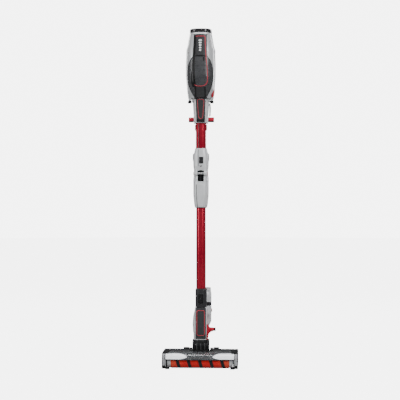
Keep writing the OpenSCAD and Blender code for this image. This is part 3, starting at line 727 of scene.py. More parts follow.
MOULDED = {
    # colour, roughness, grain, colour drift, paler edges as worn plastic and painted highlight, clear coat, metallic
    "silver_plastic": ((0.58, 0.59, 0.60), 0.30, 0.10, 0.04, 0.16, 0.35, 0.35),
    # lighter silver, a painted highlight for the band under the cap
    "silver_painted_highlight": ((0.80, 0.81, 0.82), 0.26, 0.06, 0.03, 0.08, 0.35),
    "light_plastic": ((0.70, 0.71, 0.72), 0.36, 0.14, 0.04, 0.14, 0.15, 0.15),
    "white_plastic": ((0.82, 0.82, 0.82), 0.34, 0.10, 0.02, 0.05, 0.2),
    "dark_plastic": ((0.022, 0.022, 0.024), 0.44, 0.22, 0.10, 0.16),
    "gloss_dark_plastic": ((0.012, 0.012, 0.013), 0.22, 0.08, 0.06, 0.10, 0.4),
    "black_plastic": ((0.004, 0.004, 0.0045), 0.40, 0.16, 0.10, 0.10),
    # gloss black for real parts, also used for painted dark reflections and shade on the wand and the body's front
    "gloss_black_and_painted_reflection": ((0.002, 0.002, 0.0025), 0.34, 0.04, 0.06, 0.02),
    "panel_plastic": ((0.034, 0.035, 0.037), 0.36, 0.14, 0.06, 0.10, 0.2),
    "panel_edge": ((0.016, 0.016, 0.018), 0.34, 0.12, 0.06, 0.10, 0.2),
    "mark_white": ((0.86, 0.87, 0.87), 0.4, 0.0, 0.02, 0.0),
    "red_plastic": ((0.46, 0.005, 0.024), 0.27, 0.08, 0.05, 0.10, 0.3),
    "clip_red": ((0.62, 0.008, 0.040), 0.27, 0.08, 0.05, 0.10, 0.3),
    # dark red, a painted shade for the undersides of the clip's ears
    "red_painted_shade": ((0.070, 0.004, 0.010), 0.35, 0.08, 0.05, 0.06),
    "cheek_grey": ((0.30, 0.305, 0.31), 0.3, 0.1, 0.04, 0.06),
    # lighter grey, a painted highlight for the fork's ribs
    "rib_painted_highlight_grey": ((0.11, 0.11, 0.115), 0.4, 0.1, 0.06, 0.10),
    "piping_red": ((0.48, 0.050, 0.070), 0.42, 0.06, 0.04, 0.0),
    "bristle": ((0.035, 0.035, 0.038), 0.5, 0.0, 0.25, 0.0),
    "board_green": ((0.012, 0.085, 0.035), 0.4, 0.05, 0.12, 0.05, 0.3),
}
for kind, look in MOULDED.items():
    moulded(kind, *look)
clear("smoked_clear", (0.075, 0.077, 0.082), 0.26, 0.35)
clear("clear_window", (0.86, 0.87, 0.89), 0.04, 0.95)
clear("cap_clear", (0.62, 0.63, 0.65), 0.22, 0.45)
# The lamp lens glows as the head's headlights, and its glow also stands in for the soft boxes' reflection in the arch.
lamp("lamp_lens", (1.0, 1.0, 1.0), 1.5)
anodised("red_metal", (0.46, 0.006, 0.030))
plush("plush_red", (0.66, 0.018, 0.018), (0.016, 0.019, 0.020))
metal("steel", (0.60, 0.60, 0.61), 0.24, (0.05, 1, 1))
metal("motor_metal", (0.42, 0.43, 0.45), 0.42)
rubber("rubber_black", (0.006, 0.006, 0.0065))
rubber("tyre_black", (0.016, 0.016, 0.017), 0.8)
rubber("hose_rubber", (0.020, 0.020, 0.022), 0.55)
foam("filter_foam", (0.14, 0.19, 0.25))
# The slot of each material that is not named after its slot.
SLOT_OF = {
    "silver_painted_highlight": "silver_plastic", "white_plastic": "light_plastic", "gloss_dark_plastic": "dark_plastic",
    "gloss_black_and_painted_reflection": "black_plastic", "panel_edge": "panel_plastic", "mark_white": "lamp_lens",
    "cap_clear": "clear_window", "clip_red": "red_plastic", "cheek_grey": "dark_plastic",
    "rib_painted_highlight_grey": "dark_plastic", "piping_red": "red_plastic",
}


def dress_frame():
    """The frame's own nodes take their slot's material."""
    for part in frame["record"]["subparts"]:
        obj = frame["nodes"][part["node"]]
        obj.data.materials.clear()
        obj.data.materials.append(MATERIALS[part["material_slot"]])


# ---- camera, light and floor ----

CAMERA_FROM = 3500.0
CAMERA_Z = 577.7
CAMERA_TURN = math.radians(2.7)
VIEW_WIDTH = 1399.0
AIM_X = -3.5
BACKDROP = 6.0


def set_camera():
    data = bpy.data.cameras.new("camera")
    data.sensor_width = 36.0
    data.lens = data.sensor_width * CAMERA_FROM / VIEW_WIDTH
    data.clip_end = 100
    camera = bpy.data.objects.new("camera", data)
    place = Vector((AIM_X + CAMERA_FROM * math.sin(CAMERA_TURN), -CAMERA_FROM * math.cos(CAMERA_TURN), CAMERA_Z))
    camera.location = place * MM
    camera.rotation_euler = (math.pi / 2, 0, CAMERA_TURN)
    put(camera)
    bpy.context.scene.camera = camera


def soft_box(name, place, aim, size, power):
    data = bpy.data.lights.new(name, "AREA")
    data.shape = "RECTANGLE"
    data.size, data.size_y = size
    data.energy = power
    light = bpy.data.objects.new(name, data)
    light.location = place
    light.rotation_euler = (Vector(aim) - Vector(place)).to_track_quat("-Z", "Y").to_euler()
    put(light)


def set_light():
    """A white studio: the camera sees a white background, and the object a softer grey room with soft boxes."""
    world = bpy.data.worlds.new("studio")
    world.use_nodes = True
    tree = world.node_tree
    tree.nodes.clear()
    out = tree.nodes.new("ShaderNodeOutputWorld")
    room, backdrop, mix = (
        tree.nodes.new(k) for k in ("ShaderNodeBackground", "ShaderNodeBackground", "ShaderNodeMixShader")
    )
    path = tree.nodes.new("ShaderNodeLightPath")
    room.inputs["Color"].default_value = (0.80, 0.82, 0.85, 1)
    place = tree.nodes.new("ShaderNodeTexCoord")
    split = tree.nodes.new("ShaderNodeSeparateXYZ")
    shade_back = tree.nodes.new("ShaderNodeMapRange")
    tree.links.new(place.outputs["Generated"], split.inputs[0])
    tree.links.new(split.outputs["Y"], shade_back.inputs["Value"])
    for socket, value in (("From Min", -0.5), ("From Max", 0.6), ("To Min", 0.55), ("To Max", 0.16)):
        shade_back.inputs[socket].default_value = value
    tree.links.new(shade_back.outputs[0], room.inputs["Strength"])
    backdrop.inputs["Color"].default_value = (1, 1, 1, 1)
    backdrop.inputs["Strength"].default_value = BACKDROP
    tree.links.new(path.outputs["Is Camera Ray"], mix.inputs[0])
    tree.links.new(room.outputs[0], mix.inputs[1])
    tree.links.new(backdrop.outputs[0], mix.inputs[2])
    tree.links.new(mix.outputs[0], out.inputs[0])
    bpy.context.scene.world = world
    soft_box("key", (1.6, -2.2, 1.9), (0, 0, 0.6), (0.5, 1.8), 52)
    soft_box("fill", (-2.4, -1.6, 1.2), (0, 0, 0.6), (0.7, 1.8), 34)
    soft_box("rim_left", (-1.4, 1.8, 1.6), (0, 0, 0.7), (0.5, 1.8), 20)
    soft_box("rim_right", (1.6, 1.6, 1.4), (0, 0, 0.6), (0.5, 1.8), 20)
    soft_box("top", (0, -0.3, 3.0), (0, 0, 0.6), (1.4, 1.4), 30)


def set_floor():
    m = Nodes("floor_paint")
    m.into(m.mix(m.map(m.noise(2, 4), 0.3, 0.7, 0, 1), (0.33, 0.33, 0.33), (0.37, 0.37, 0.37)), "Base Color")
    m.set(Roughness=0.9, Emission_Color=(1, 1, 1, 1))
    m.into(m.map(m.add("LightPath").outputs["Is Camera Ray"], 0, 1, 0.02, BACKDROP * 0.9), "Emission Strength")
    bm = bmesh.new()
    bmesh.ops.create_circle(bm, cap_ends=True, segments=96, radius=12)
    mesh = bpy.data.meshes.new("floor")
    bm.to_mesh(mesh)
    bm.free()
    mesh.materials.append(m.material)
    floor = bpy.data.objects.new("floor", mesh)
    floor.location.z = -0.0005
    put(floor)


set_camera()
set_light()
set_floor()
dress_frame()


# ---- floor head ----

SHELL = 2.2
WINDOW_C = (FRONT_Y + 22, HEAD_TOP - 22)
WINDOW_R = 22.0
NOSE_C = (FRONT_Y + 22, HEAD_TOP - 20)
LIP_Z = 33.0
DECK_C = (REAR_Y - 10, HEAD_TOP - 12)
BROW_Y = -53.0
FENDER_X = (43.5, 62.5)
GAP = 0.4


def window_line(inset, foot=LIP_Z):
    """Front arch of the head, from its top down to the lip, as (y, z)."""
    line = [(BROW_Y - GAP, HEAD_TOP - inset)]
    line += arc(WINDOW_C, WINDOW_R - inset, 90, 180, 22)
    if foot < WINDOW_C[1]:
        line.append((WINDOW_C[0] - WINDOW_R + inset, foot))
    return line


def band(line_out, line_in):
    """Closed outline of the wall between two lines."""
    return line_out + line_in[::-1]


def make_window():
    wall = prism("x", band(window_line(0), window_line(1.9)), -SIDE_X + GAP, SIDE_X - GAP)
    lip = pipe([(x, FRONT_Y + 1.3, LIP_Z + 0.2) for x in np.linspace(-SIDE_X + 2, SIDE_X - 2, 60)], 1.3)
    piece("front_arch", wall, "nozzle", "clear_window", ["front_window"])
    piece("front_lip", lip, "nozzle", "dark_plastic")


def make_lamp_housing():
    """Dark liner under the clear arch: it hides the roller and carries the two lamps."""
    liner = band(window_line(3.4, 34.0), window_line(5.4, 34.0))
    piece("lamp_housing", prism("x", liner, -SIDE_X + 2, SIDE_X - 2), "nozzle", "gloss_dark_plastic")


LAMP_IN, LAMP_OUT = 44.0, 117.0
LAMP_MID, LAMP_HALF = 138.0, 36.0


def make_lamps_and_painted_reflection():
    """Two glowing lamp bands that taper to a point towards the middle of the head, shaped after the painted reflection
    of two soft boxes in the clear arch.
    """
    out, inn = [], []
    for x in LAMP_IN + (LAMP_OUT - LAMP_IN) * np.linspace(0, 1, 42) ** 1.6:
        share = min((x - LAMP_IN) / 34, 1.0)
        half = LAMP_HALF * (0.03 + 0.97 * math.sin(share * math.pi / 2) ** 0.8)
        middle_a = LAMP_MID + 14 * (1 - share) ** 1.5
        rows = np.radians(np.linspace(middle_a - half, middle_a + half, 22))
        for grid, radius in ((out, WINDOW_R - 2.1), (inn, WINDOW_R - 3.3)):
            grid.append([(x, WINDOW_C[0] + radius * math.cos(a), WINDOW_C[1] + radius * math.sin(a)) for a in rows])
    piece("lamp_and_reflection_bands", both(sheet_solid(out, inn)), "nozzle", "lamp_lens", ["headlights"])


def make_cover():
    outer = [(REAR_Y, 30)] + arc(DECK_C, 10, 0, 80, 14) + [(BROW_Y, HEAD_TOP), (BROW_Y, HEAD_TOP - 3)]
    inner = [(BROW_Y + 4, HEAD_TOP - 3)] + arc(DECK_C, 10 - SHELL, 80, 0, 14) + [(REAR_Y - SHELL, 30)]
    shell = prism("x", outer + inner, -SIDE_X + GAP, SIDE_X - GAP)
    wheel_yz, wheel_r = (WHEEL[1], WHEEL[2]), WHEEL[2]
    fender_line = arc(wheel_yz, wheel_r + 4.2, 18, 140, 28) + arc(wheel_yz, wheel_r + 1.6, 140, 18, 28)
    fenders = both(prism("x", fender_line, *FENDER_X, 0.9))
    wells = both(rod("x", wheel_yz, wheel_r + 1.5, FENDER_X[0] + 1.3, FENDER_X[1] - 1.3, n=72))
    neck_slot = prism("z", rounded(62, 140, 9, (0, 60)), 20, 80)
    fender_gaps = both(block((FENDER_X[0] - 0.5, 0, 20), (FENDER_X[0] + 0.9, REAR_Y - SHELL, 49.6)))
    recess = both(block((SIDE_X - 15, -33, HEAD_TOP - 2.7), (SIDE_X + 1, 2, 70)))
    shell = join(shell, fenders)
    shell = minus(shell, wells, neck_slot, fender_gaps, recess)
    groove = block((-SIDE_X, -44.0, HEAD_TOP - 1.0), (SIDE_X, -43.1, 70))
    piece("rear_cover", minus(shell, groove), "nozzle", "gloss_dark_plastic", ["nozzle_cover"])
    brow = [(x, BROW_Y + 1.2, HEAD_TOP - 0.5) for x in np.linspace(-SIDE_X + 17, SIDE_X - 17, 40)]
    piece("brow_seam", pipe(brow, 0.7), "nozzle", "black_plastic")


def head_line(inset):
    return (
        arc((FRONT_Y + 8, 10), 8 - inset, 180, 270, 10)
        + arc((REAR_Y - 5, 9), 5 - inset, 270, 360, 8)
        + arc(DECK_C, 10 - inset, 0, 80, 12)
        + arc(NOSE_C, 20 - inset, 90, 180, 18)
    )


def make_end_cap(side, name):
    """Dark end cap with a clear window in its front, over the roller's bearing."""
    cap = prism("x", head_line(0), SIDE_X, HEAD_X, 1.6)
    hollow = prism("x", head_line(3), SIDE_X - 1, HEAD_X - 2.5)
    recess = block((SIDE_X - 15, -33, HEAD_TOP - 2.7), (HEAD_X - 2, 2, 70))
    pane_line = arc(NOSE_C, 24, 112, 180, 16) + [(FRONT_Y - 4, 14), (FRONT_Y + 9, 14)]
    pane_line += arc(NOSE_C, 13, 180, 112, 10)
    pane_cut = prism("x", pane_line, SIDE_X + 1.6, HEAD_X - 2.6)
    ribs = [
        prism("x", rounded(3.0, 16, 1.2, (y, 24)), HEAD_X - 1.0, HEAD_X + 1, 0) for y in (-30, -22, -14, -6, 2, 10)
    ]
    shell = minus(cap, hollow, recess, pane_cut, *ribs)
    pane = common(prism("x", head_line(0.5), SIDE_X + 1.9, HEAD_X - 2.9, 0.6), prism("x", pane_line, 0, 200))
    pane = minus(pane, prism("x", head_line(2.6), 0, 200))
    if side < 0:
        shell, pane = mirrored(shell), mirrored(pane)
    piece(f"{name}_shell", shell, "nozzle", "black_plastic", [name], slot="dark_plastic")
    piece(f"{name}_pane", pane, "nozzle", "cap_clear")


def make_head_trim():
    """Black corners beside the window, a gasket before the neck's slot, dark skirts and hoods beside the fork."""
    corner = prism("z", rounded(22, 23, 3, (118, -40)), HEAD_TOP - 1.6, HEAD_TOP + 1, 0.6)
    face = [(-48, HEAD_TOP + 0.6)] + arc(NOSE_C, 20.5, 90, 116, 10)
    face += arc(NOSE_C, 18.4, 116, 90, 10) + [(-48, HEAD_TOP - 1.6)]
    corner = join(corner, prism("x", face, 107, HEAD_X - 0.5, 0.5))
    piece("corner_blocks", both(corner), "nozzle", "black_plastic")
    gasket = block((-25, -21, HEAD_TOP - 0.6), (25, -10.6, HEAD_TOP + 0.5))
    piece("slot_gasket", gasket, "nozzle", "rubber_black")
    cheek = block((115.8, FRONT_Y + 1.0, 9.6), (SIDE_X + 1.8, FRONT_Y + 2.6, 32.4), 0.4)
    piece("bearing_cheeks", both(cheek), "nozzle", "cheek_grey")
    skirt = prism("x", [(-94.5, 0.8), (-87.5, 0.8), (-87.5, 8.6), (-92.5, 8.6)], 103.5, SIDE_X + 0.4, 0.8)
    piece("roller_skirts", both(skirt), "nozzle", "black_plastic", slot="dark_plastic")
    hood_line = [(-4, HEAD_TOP - 1), (1, HEAD_TOP + 3.4), (26, HEAD_TOP + 3.4), (32, HEAD_TOP - 1)]
    piece("fork_hoods", both(prism("x", hood_line, 31.8, 43, 1.2)), "nozzle", "black_plastic")


def make_latch(name, body):
    """Sliding catch with grip ridges."""
    lo, hi = low(name), high(name)
    x, y, _ = (lo + hi) / 2
    plate = prism("z", rounded(hi[0] - lo[0], hi[1] - lo[1], 3, (x, y)), lo[2], hi[2] - 0.6, 0.4)
    ridges = [rod("y", (x + 3.2 * k, hi[2] - 0.9), 0.8, lo[1] + 3, hi[1] - 3, 0.3, 16) for k in (-1, 0, 1)]
    piece(f"{name}_slider", join(plate, *ridges), body, "black_plastic", [name])


SLEEVE_BORE_R = 19.2
NAP_CLEAR = 0.5
NAP_LUMPS, NAP_FUZZ = 0.55, 0.35
NAP_END_DROP, NAP_END_RUN = 1.6, 2.2


def make_roller():
    """Plush sleeve: a soft, slightly uneven nap round the core."""
    x0, x1 = low("soft_roller_sleeve")[0], high("soft_roller_sleeve")[0]
    full = PLUSH[2]
    around, rings = 120, []
    for x in np.linspace(x0, x1, 134):
        edge = min(x - x0, x1 - x)
        nap = full - NAP_CLEAR - NAP_END_DROP * max(0.0, 1 - edge / NAP_END_RUN) ** 2
        ring = []
        for a in full_turn(around):
            c, s = math.cos(a), math.sin(a)
            lumps = noise.noise(Vector((x * 0.35, c * 9, s * 9))) * NAP_LUMPS
            fuzz = noise.noise(Vector((x * 1.4, c * 34 + 5, s * 34))) * NAP_FUZZ
            r = min(nap + lumps + fuzz, full - 0.02)
            ring.append((x, PLUSH[1] + r * c, PLUSH[2] + r * s))
        rings.append(ring)
    sleeve = minus(loft(rings), rod("x", PLUSH[1:], SLEEVE_BORE_R, x0 - 1, x1 + 1, n=96))
    piece("plush_sleeve", sleeve, "soft_roller", "plush_red", ["soft_roller_sleeve"])


TUFT_ROWS = 6
TUFT_STEP = 6.0
TUFT_REACH = 98.0
TUFT_START, TUFT_LEAN = 0.26, 0.5
CORE_R = 12.0


def make_bristles():
    """Rows of tufts that wind a little round the brush roll, in a V about its middle."""
    tufts = []
    for row in range(TUFT_ROWS):
        for x in np.arange(-TUFT_REACH + 2, TUFT_REACH - 1, TUFT_STEP):
            a = 2 * math.pi * row / TUFT_ROWS + TUFT_START + TUFT_LEAN * abs(x) / TUFT_REACH
            u, v = math.cos(a), math.sin(a)
            rings = []
            for radius, thick in ((CORE_R - 1, 1.2), (15.5, 1.55), (18.7, 1.9)):
                rings.append(
                    [
                        (
                            x + thick * math.cos(b),
                            BRUSH[1] + radius * u - thick * math.sin(b) * v,
                            BRUSH[2] + radius * v + thick * math.sin(b) * u,
                        )
                        for b in full_turn(7)
                    ]
                )
            tufts.append(loft(rings))
    piece("brush_tufts", gather(*tufts), "brush_roll", "bristle", ["brush_roll_bristles"])


def make_wheel(name, body):
    """Spoked hub and a tyre with a grooved tread."""
    x0, x1 = low(name)[0], high(name)[0]
    cx, r, yz = (x0 + x1) / 2, WHEEL[2], (WHEEL[1], WHEEL[2])
    half = (x1 - x0) / 2 - 1
    tread = [(-half, r - 4.2), (-half, r - 1.6), (-half + 0.5, r - 0.6), (-half + 1.6, r)]
    for k in (-2.6, 0, 2.6):
        tread += [(k - 0.6, r), (k - 0.35, r - 0.7), (k + 0.35, r - 0.7), (k + 0.6, r)]
    tread += [(half - 1.6, r), (half - 0.5, r - 0.6), (half, r - 1.6), (half, r - 4.2)]
    tyre = turned([(cx + t, q) for t, q in tread], "x", yz, 96)
    disc = rod("x", yz, r - 4.3, x0 + 1, x1 - 1, 0.8, 72)
    dish = gather(rod("x", yz, r - 7, x0 - 1, x0 + 3.4, n=64), rod("x", yz, r - 7, x1 - 3.4, x1 + 1, n=64))
    holes = []
    for k in range(6):
        a = math.radians(60 * k + 30)
        holes.append(rod("x", (yz[0] + 12.4 * math.cos(a), yz[1] + 12.4 * math.sin(a)), 3.9, x0 - 1, x1 + 1, n=28))
    boss = rod("x", yz, 6.4, x0, x1, 0.7)
    hub = minus(join(minus(disc, dish, *holes), boss), rod("x", yz, 3.07, x0 - 1, x1 + 1, n=40))
    piece(f"{name}_hub", hub, body, "dark_plastic", [name])
    piece(f"{name}_tyre", tyre, body, "tyre_black")


FOLD_STEPS = 8
RIPPLE = 0.85


def bellows(node, radius, wall, folds, n):
    """Corrugated hose as long as its node."""
    z0, z1 = low(node)[2], high(node)[2]
    skin = [
        (z0 + t * (z1 - z0), radius + RIPPLE * math.cos(t * folds * 2 * math.pi))
        for t in np.linspace(0, 1, folds * FOLD_STEPS + 1)
    ]
    return turned(skin + [(z, r - wall) for z, r in reversed(skin)], "z", middle(node)[:2], n)


def make_neck_hose():
    """Corrugated hose from the floor head up to the swivel ring."""
    hose = bellows("neck_hose", 13.5, 1.3, 9, 64)
    start = (0, TILT_Y * MM, (low("neck_hose")[2] + 2) * MM)
    end = (0, TILT_Y * MM, (high("neck_hose")[2] - 2) * MM)
    piece("neck_bellows", hose, None, "hose_rubber", ["neck_hose"], blend=("nozzle", "yoke", start, end))


def make_head():
    make_window()
    make_lamp_housing()
    make_lamps_and_painted_reflection()
    make_cover()
    make_end_cap(-1, "end_cap_left")
    make_end_cap(1, "end_cap_right")
    make_head_trim()
    for side in ("left", "right"):
        make_latch(f"window_latch_{side}", f"latch_{side}")
    make_roller()
    make_bristles()
    for side in ("left", "right"):
        make_wheel(f"wheel_{side}", f"rear_wheel_{side}")
    make_neck_hose()


make_head()


# ---- neck ----

NECK_FORM = Form([
    [NECK, 26.2, -22, 24], [NECK + 22, 26.6, -23, 25], [NECK + 28, 28.4, -24, 27],
    [NECK + 50, 28.8, -24, 28], [NECK + 70, 27, -24, 28], [NECK + 90, 24.8, -23, 26],
    [NECK + 104, 22.2, -22, 24], [FOOT, 20.8, -21.5, 23.5],
])
NECK_FLAT = 20.2
PANEL_X = 17.6


def make_neck():
    outer = form_solid(NECK_FORM, edge=1.2)
    outer = minus(outer, prism("y", [(NECK_FLAT, 0), (90, 0), (90, 300), (NECK_FLAT, 300)], -90, 90))
    inner = form_solid(NECK_FORM, grow=-SHELL, over=6)
    inner = minus(inner, block((NECK_FLAT - SHELL, -90, 0), (90, 90, 300)))
    skin = minus(outer, inner)
    panel_cut = prism("y", rounded(2 * (PANEL_X + GAP), FOOT - NECK - 3.5, 3, (0, (NECK + FOOT) / 2 + 1.8)), -60, -15)
    front = minus(skin, block((-90, 0, 0), (90, 90, 400)), panel_cut)
    wing = [(-26.2, -11, NECK + 30), (-28.2, -9, NECK + 52), (-26.6, -10, NECK + 78), (-22.5, -12, NECK + 98)]
    front = join(front, pipe(wing, 0.9))
    rear = minus(skin, block((-90, -90, 0), (90, GAP, 400)))
    rear = minus(rear, *[prism("y", rounded(20, 2.0, 0.95, (-4, NECK + 34 + 8 * k)), 26.2, 60) for k in range(3)])
    piece("neck_front", front, "neck", "light_plastic", ["neck_shell_front"], slot="silver_plastic")
    piece("neck_rear", rear, "neck", "light_plastic", ["neck_shell_rear"], slot="silver_plastic")


PIPE_R = 1.25


def make_neck_panel():
    """Dark front of the neck: a raised field inside a red rounded outline."""
    z0, z1 = low("neck_panel")[2], high("neck_panel")[2]
    body = [(-PANEL_X, -19.4), (-PANEL_X, -22.6)] + arc((-PANEL_X + 5, -18.4), 6.4, 225, 262, 6)
    body += arc((PANEL_X - 5, -18.4), 6.4, 278, 315, 6) + [(PANEL_X, -22.6), (PANEL_X, -19.4)]
    plate = prism("z", body, z0, z1, 0.5)
    foot_notch = prism("y", rounded(15, 14, 3, (0, z0)), -40, -23.9)
    field = prism("y", rounded(23, z1 - z0 - 26, 4, (0, (z0 + z1) / 2 + 1)), -25.6, -23, 0.5)
    plate = join(minus(plate, foot_notch), field)
    piece("neck_face", plate, "neck", "panel_plastic", ["neck_panel"])
    outline = even(rounded(26.4, z1 - z0 - 21.5, 5.5, (0, (z0 + z1) / 2 + 1), 10), 2.0, True)
    path = [(x, -24.75, z) for x, z in outline]
    piece("neck_piping", pipe(path, PIPE_R, True, 10, 0.8), "neck", "piping_red")


def make_bracket():
    """Red bracket: peg on a swept gusset in front, tongue and snap ring behind."""
    peg_y, peg_z, peg_root = -14.0, NECK + 37.0, 42.5
    plate = prism("x", rounded(49, 38, 6, (5.5, NECK + 30)), NECK_FLAT, 25, 1.0)
    bend = [(25, NECK + 53), (28, NECK + 47), (33, NECK + 43.6), (40, peg_z + 5.4), (peg_root + 2, peg_z + 5)]
    lower_line = arc((peg_root + 2, peg_z - 24), 17.4, 97, 180, 16) + [(24.4, NECK + 0.4)]
    outline = [(NECK_FLAT, NECK + 0.4), (NECK_FLAT, NECK + 53)] + [tuple(p) for p in spline(bend, 5)] + lower_line
    gusset = prism("y", outline, peg_y - 4.6, peg_y + 4.6, 0.5)
    boss = join(rod("x", (peg_y, peg_z), 6.6, 27, peg_root, 0.8), rod("x", (peg_y, peg_z), 6.0, peg_root - 0.5, 46.2))
    arm = [
        block((-2, 28.4, NECK + 22), (25, 31.6, NECK + 34)),
        block((4, 28.4, NECK + 22), (20, 31.6, NECK + 102)),
        block((4, 31, NECK + 22), (16, TOOL[1] + 3.6, NECK + 28)),
        prism("y", rounded(12, 40, 3, (10, NECK + 42)), TOOL[1] - 3.6, TOOL[1] + 3.6, 0.8),
    ]
    ring_z = NECK + 90
    ring = rod("z", TOOL[:2], 20.6, ring_z, ring_z + 12, 1.0, 64)
    shape = join(plate, gusset, boss, *arm, ring)
    mouth = block((NECK_FLAT, 0, ring_z - 1), (60, TOOL[1] + 2, ring_z + 13))
    shape = minus(shape, rod("z", TOOL[:2], 18.4, ring_z - 1, ring_z + 13, n=64), mouth)
    piece("bracket", shape, "neck", "red_plastic", ["tool_bracket"])
    tip = rod("x", (peg_y, peg_z), 6.0, 46, high("tool_bracket")[0], 1.2)
    piece("bracket_peg_tip", tip, "neck", "black_plastic")


TOOL_FORM = Form([
    [NECK + 30, 17.8, -7.5, 7.5], [NECK + 62, 17.8, -7.5, 7.5], [NECK + 72, 17.85, -9.2, 9.2],
    [NECK + 80, 17.9, -13.5, 13.5], [NECK + 88, 18, -18, 18], [NECK + 112, 18, -18, 18],
])


def make_crevice_tool():
    """Flat blade cut off at a slant, flaring into a round socket."""
    tx, ty = TOOL[:2]
    rings = []
    for z in np.linspace(NECK + 30, NECK + 112, 42):
        hw, _, back = TOOL_FORM.curve(z)
        squareness = 2 + 1.1 * (1 - min(max((z - NECK - 66) / 20, 0), 1))
        a = full_turn(96)
        c, s = np.cos(a), np.sin(a)
        ring = np.stack(
            [
                tx + hw * np.sign(c) * np.abs(c) ** (2 / squareness),
                ty + back * np.sign(s) * np.abs(s) ** (2 / squareness),
                np.full(96, z),
            ],
            axis=1,
        )
        rings.append(ring)
    socket = rod("z", (tx, ty), 16, NECK + 111, NECK + 177, 0.8, 64)
    shape = join(loft(rings), socket, rod("z", (tx, ty), 16.7, NECK + 168, NECK + 170.2, 0.8, 64))
    shape = minus(
        shape,
        rod("z", (tx, ty), 14, NECK + 104, NECK + 200, n=64),
        block((tx - 14, ty - 4.4, NECK), (tx + 14, ty + 4.4, NECK + 120)),
        prism("y", [(21, NECK + 15), (21, NECK + 29.2), (36, NECK + 60), (70, NECK + 60), (70, NECK + 15)], 0, 90),
    )
    lever = prism("y", rounded(7, 22, 3.2, (tx - 1, NECK + 58)), ty - 8.6, ty - 7.0, 0.5)
    shape = join(shape, lever)
    seam = turned([(NECK + 91, 18.6), (NECK + 92, 18.6), (NECK + 92, 17.6), (NECK + 91, 17.6)], "z", (tx, ty), 72)
    shape = minus(shape, seam)
    piece("crevice_nozzle", shape, "tool", "light_plastic", ["crevice_tool"])


def make_dusting_brush():
    """Collar with a crown of soft bristles round its lower rim."""
    tx, ty = TOOL[:2]
    z0, z1 = low("dusting_brush")[2], high("dusting_brush")[2]
    profile = [(z0 + 14, 16.3), (z0 + 14, 18.2), (z1 - 8, 18.2), (z1 - 7, 17.7), (z1 - 1, 17.7), (z1, 17.2), (z1, 16.3)]
    collar = turned(profile, "z", (tx, ty), 72)
    grips = [
        rod("z", (tx + 18.2 * math.cos(a), ty + 18.2 * math.sin(a)), 0.8, z0 + 18, z1 - 12, 0.3, 10)
        for a in full_turn(36)
    ]
    collar = minus(collar, *grips)
    piece("dusting_collar", collar, "brush_tool", "light_plastic", ["dusting_brush"])
    tufts = []
    for row, (radius, count) in enumerate(((17.5, 46), (16.9, 42))):
        for k in range(count):
            a = 2 * math.pi * (k + 0.5 * row) / count
            lean = random.uniform(-0.25, 0.25)
            foot = (tx + radius * math.cos(a), ty + radius * math.sin(a), z0 + 15)
            tip = (foot[0] + lean, foot[1] + lean, z0 + random.uniform(0.2, 1.2))
            rings = []
            for (px, py, pz), r in ((foot, 0.55), (tip, 0.62)):
                rings.append([(px + r * math.cos(b), py + r * math.sin(b), pz) for b in np.linspace(0, 5.2, 6)])
            tufts.append(loft(rings))
    piece("dusting_bristles", gather(*tufts), "brush_tool", "bristle")


# ---- wand ----


LOWER_R, UPPER_R = 17.0, 18.4
LOWER_BORE_R, UPPER_BORE_R = LOWER_R + 0.05, UPPER_R + 0.05
TUBE_WALL = 3.0
FLAT_DEPTH = 1.5
REFLECTION_STRIP_PROUD = 0.25


def tube_outline(radius, flat_y):
    """Round outline with a shallow flat down its front, as (x, y)."""
    half = math.degrees(math.acos(-flat_y / radius))
    return arc((0, 0), radius, -90 + half, 270 - half, 90)


def make_tube(name, body, part, radius):
    """Drawn tube with a shallow flat down its front."""
    z0, z1 = low(part)[2], high(part)[2]
    outer = prism("z", tube_outline(radius, FLAT_DEPTH - radius), z0, z1, 0.4)
    bore = rod("z", (0, 0), radius - TUBE_WALL, z0 - 1, z1 + 1, n=72)
    piece(name, minus(outer, bore), body, "red_metal", [part])


def make_painted_reflection_strip(name, body, radius, z0, z1, centre_deg, half_deg):
    """A narrow black strip down a tube, at an angle from its front: a painted dark reflection of the studio on the
    anodised metal.
    """
    out, inn = [], []
    for z in (z0, (z0 + z1) / 2, z1):
        rows = np.radians(np.linspace(centre_deg - half_deg, centre_deg + half_deg, 9) - 90)
        edge = np.array([0.0, 0.8, 1, 1, 1, 1, 1, 0.8, 0.0]) * REFLECTION_STRIP_PROUD + 0.02
        out.append([((radius + e) * math.cos(a), (radius + e) * math.sin(a), z) for a, e in zip(rows, edge)])
        inn.append([((radius - 0.4) * math.cos(a), (radius - 0.4) * math.sin(a), z) for a in rows])
    piece(name, sheet_solid(out, inn), body, "gloss_black_and_painted_reflection")


def make_wands():
    make_tube("lower_tube", "lower_wand", "lower_wand_tube", LOWER_R)
    make_tube("upper_tube", "upper_wand", "upper_wand_tube", UPPER_R)
    # Black strips painted where the studio reflects dark in the red tubes: down the lower tube's left edge and in a
    # line down the upper tube.
    make_painted_reflection_strip("lower_painted_reflection_strip", "lower_wand", LOWER_R, WAND + 0.5, FLEX - 0.5, -62, 12)
    make_painted_reflection_strip("upper_painted_reflection_strip", "upper_wand", UPPER_R, FLEX_TOP + 0.5, COLLAR - 1, -24, 5.5)


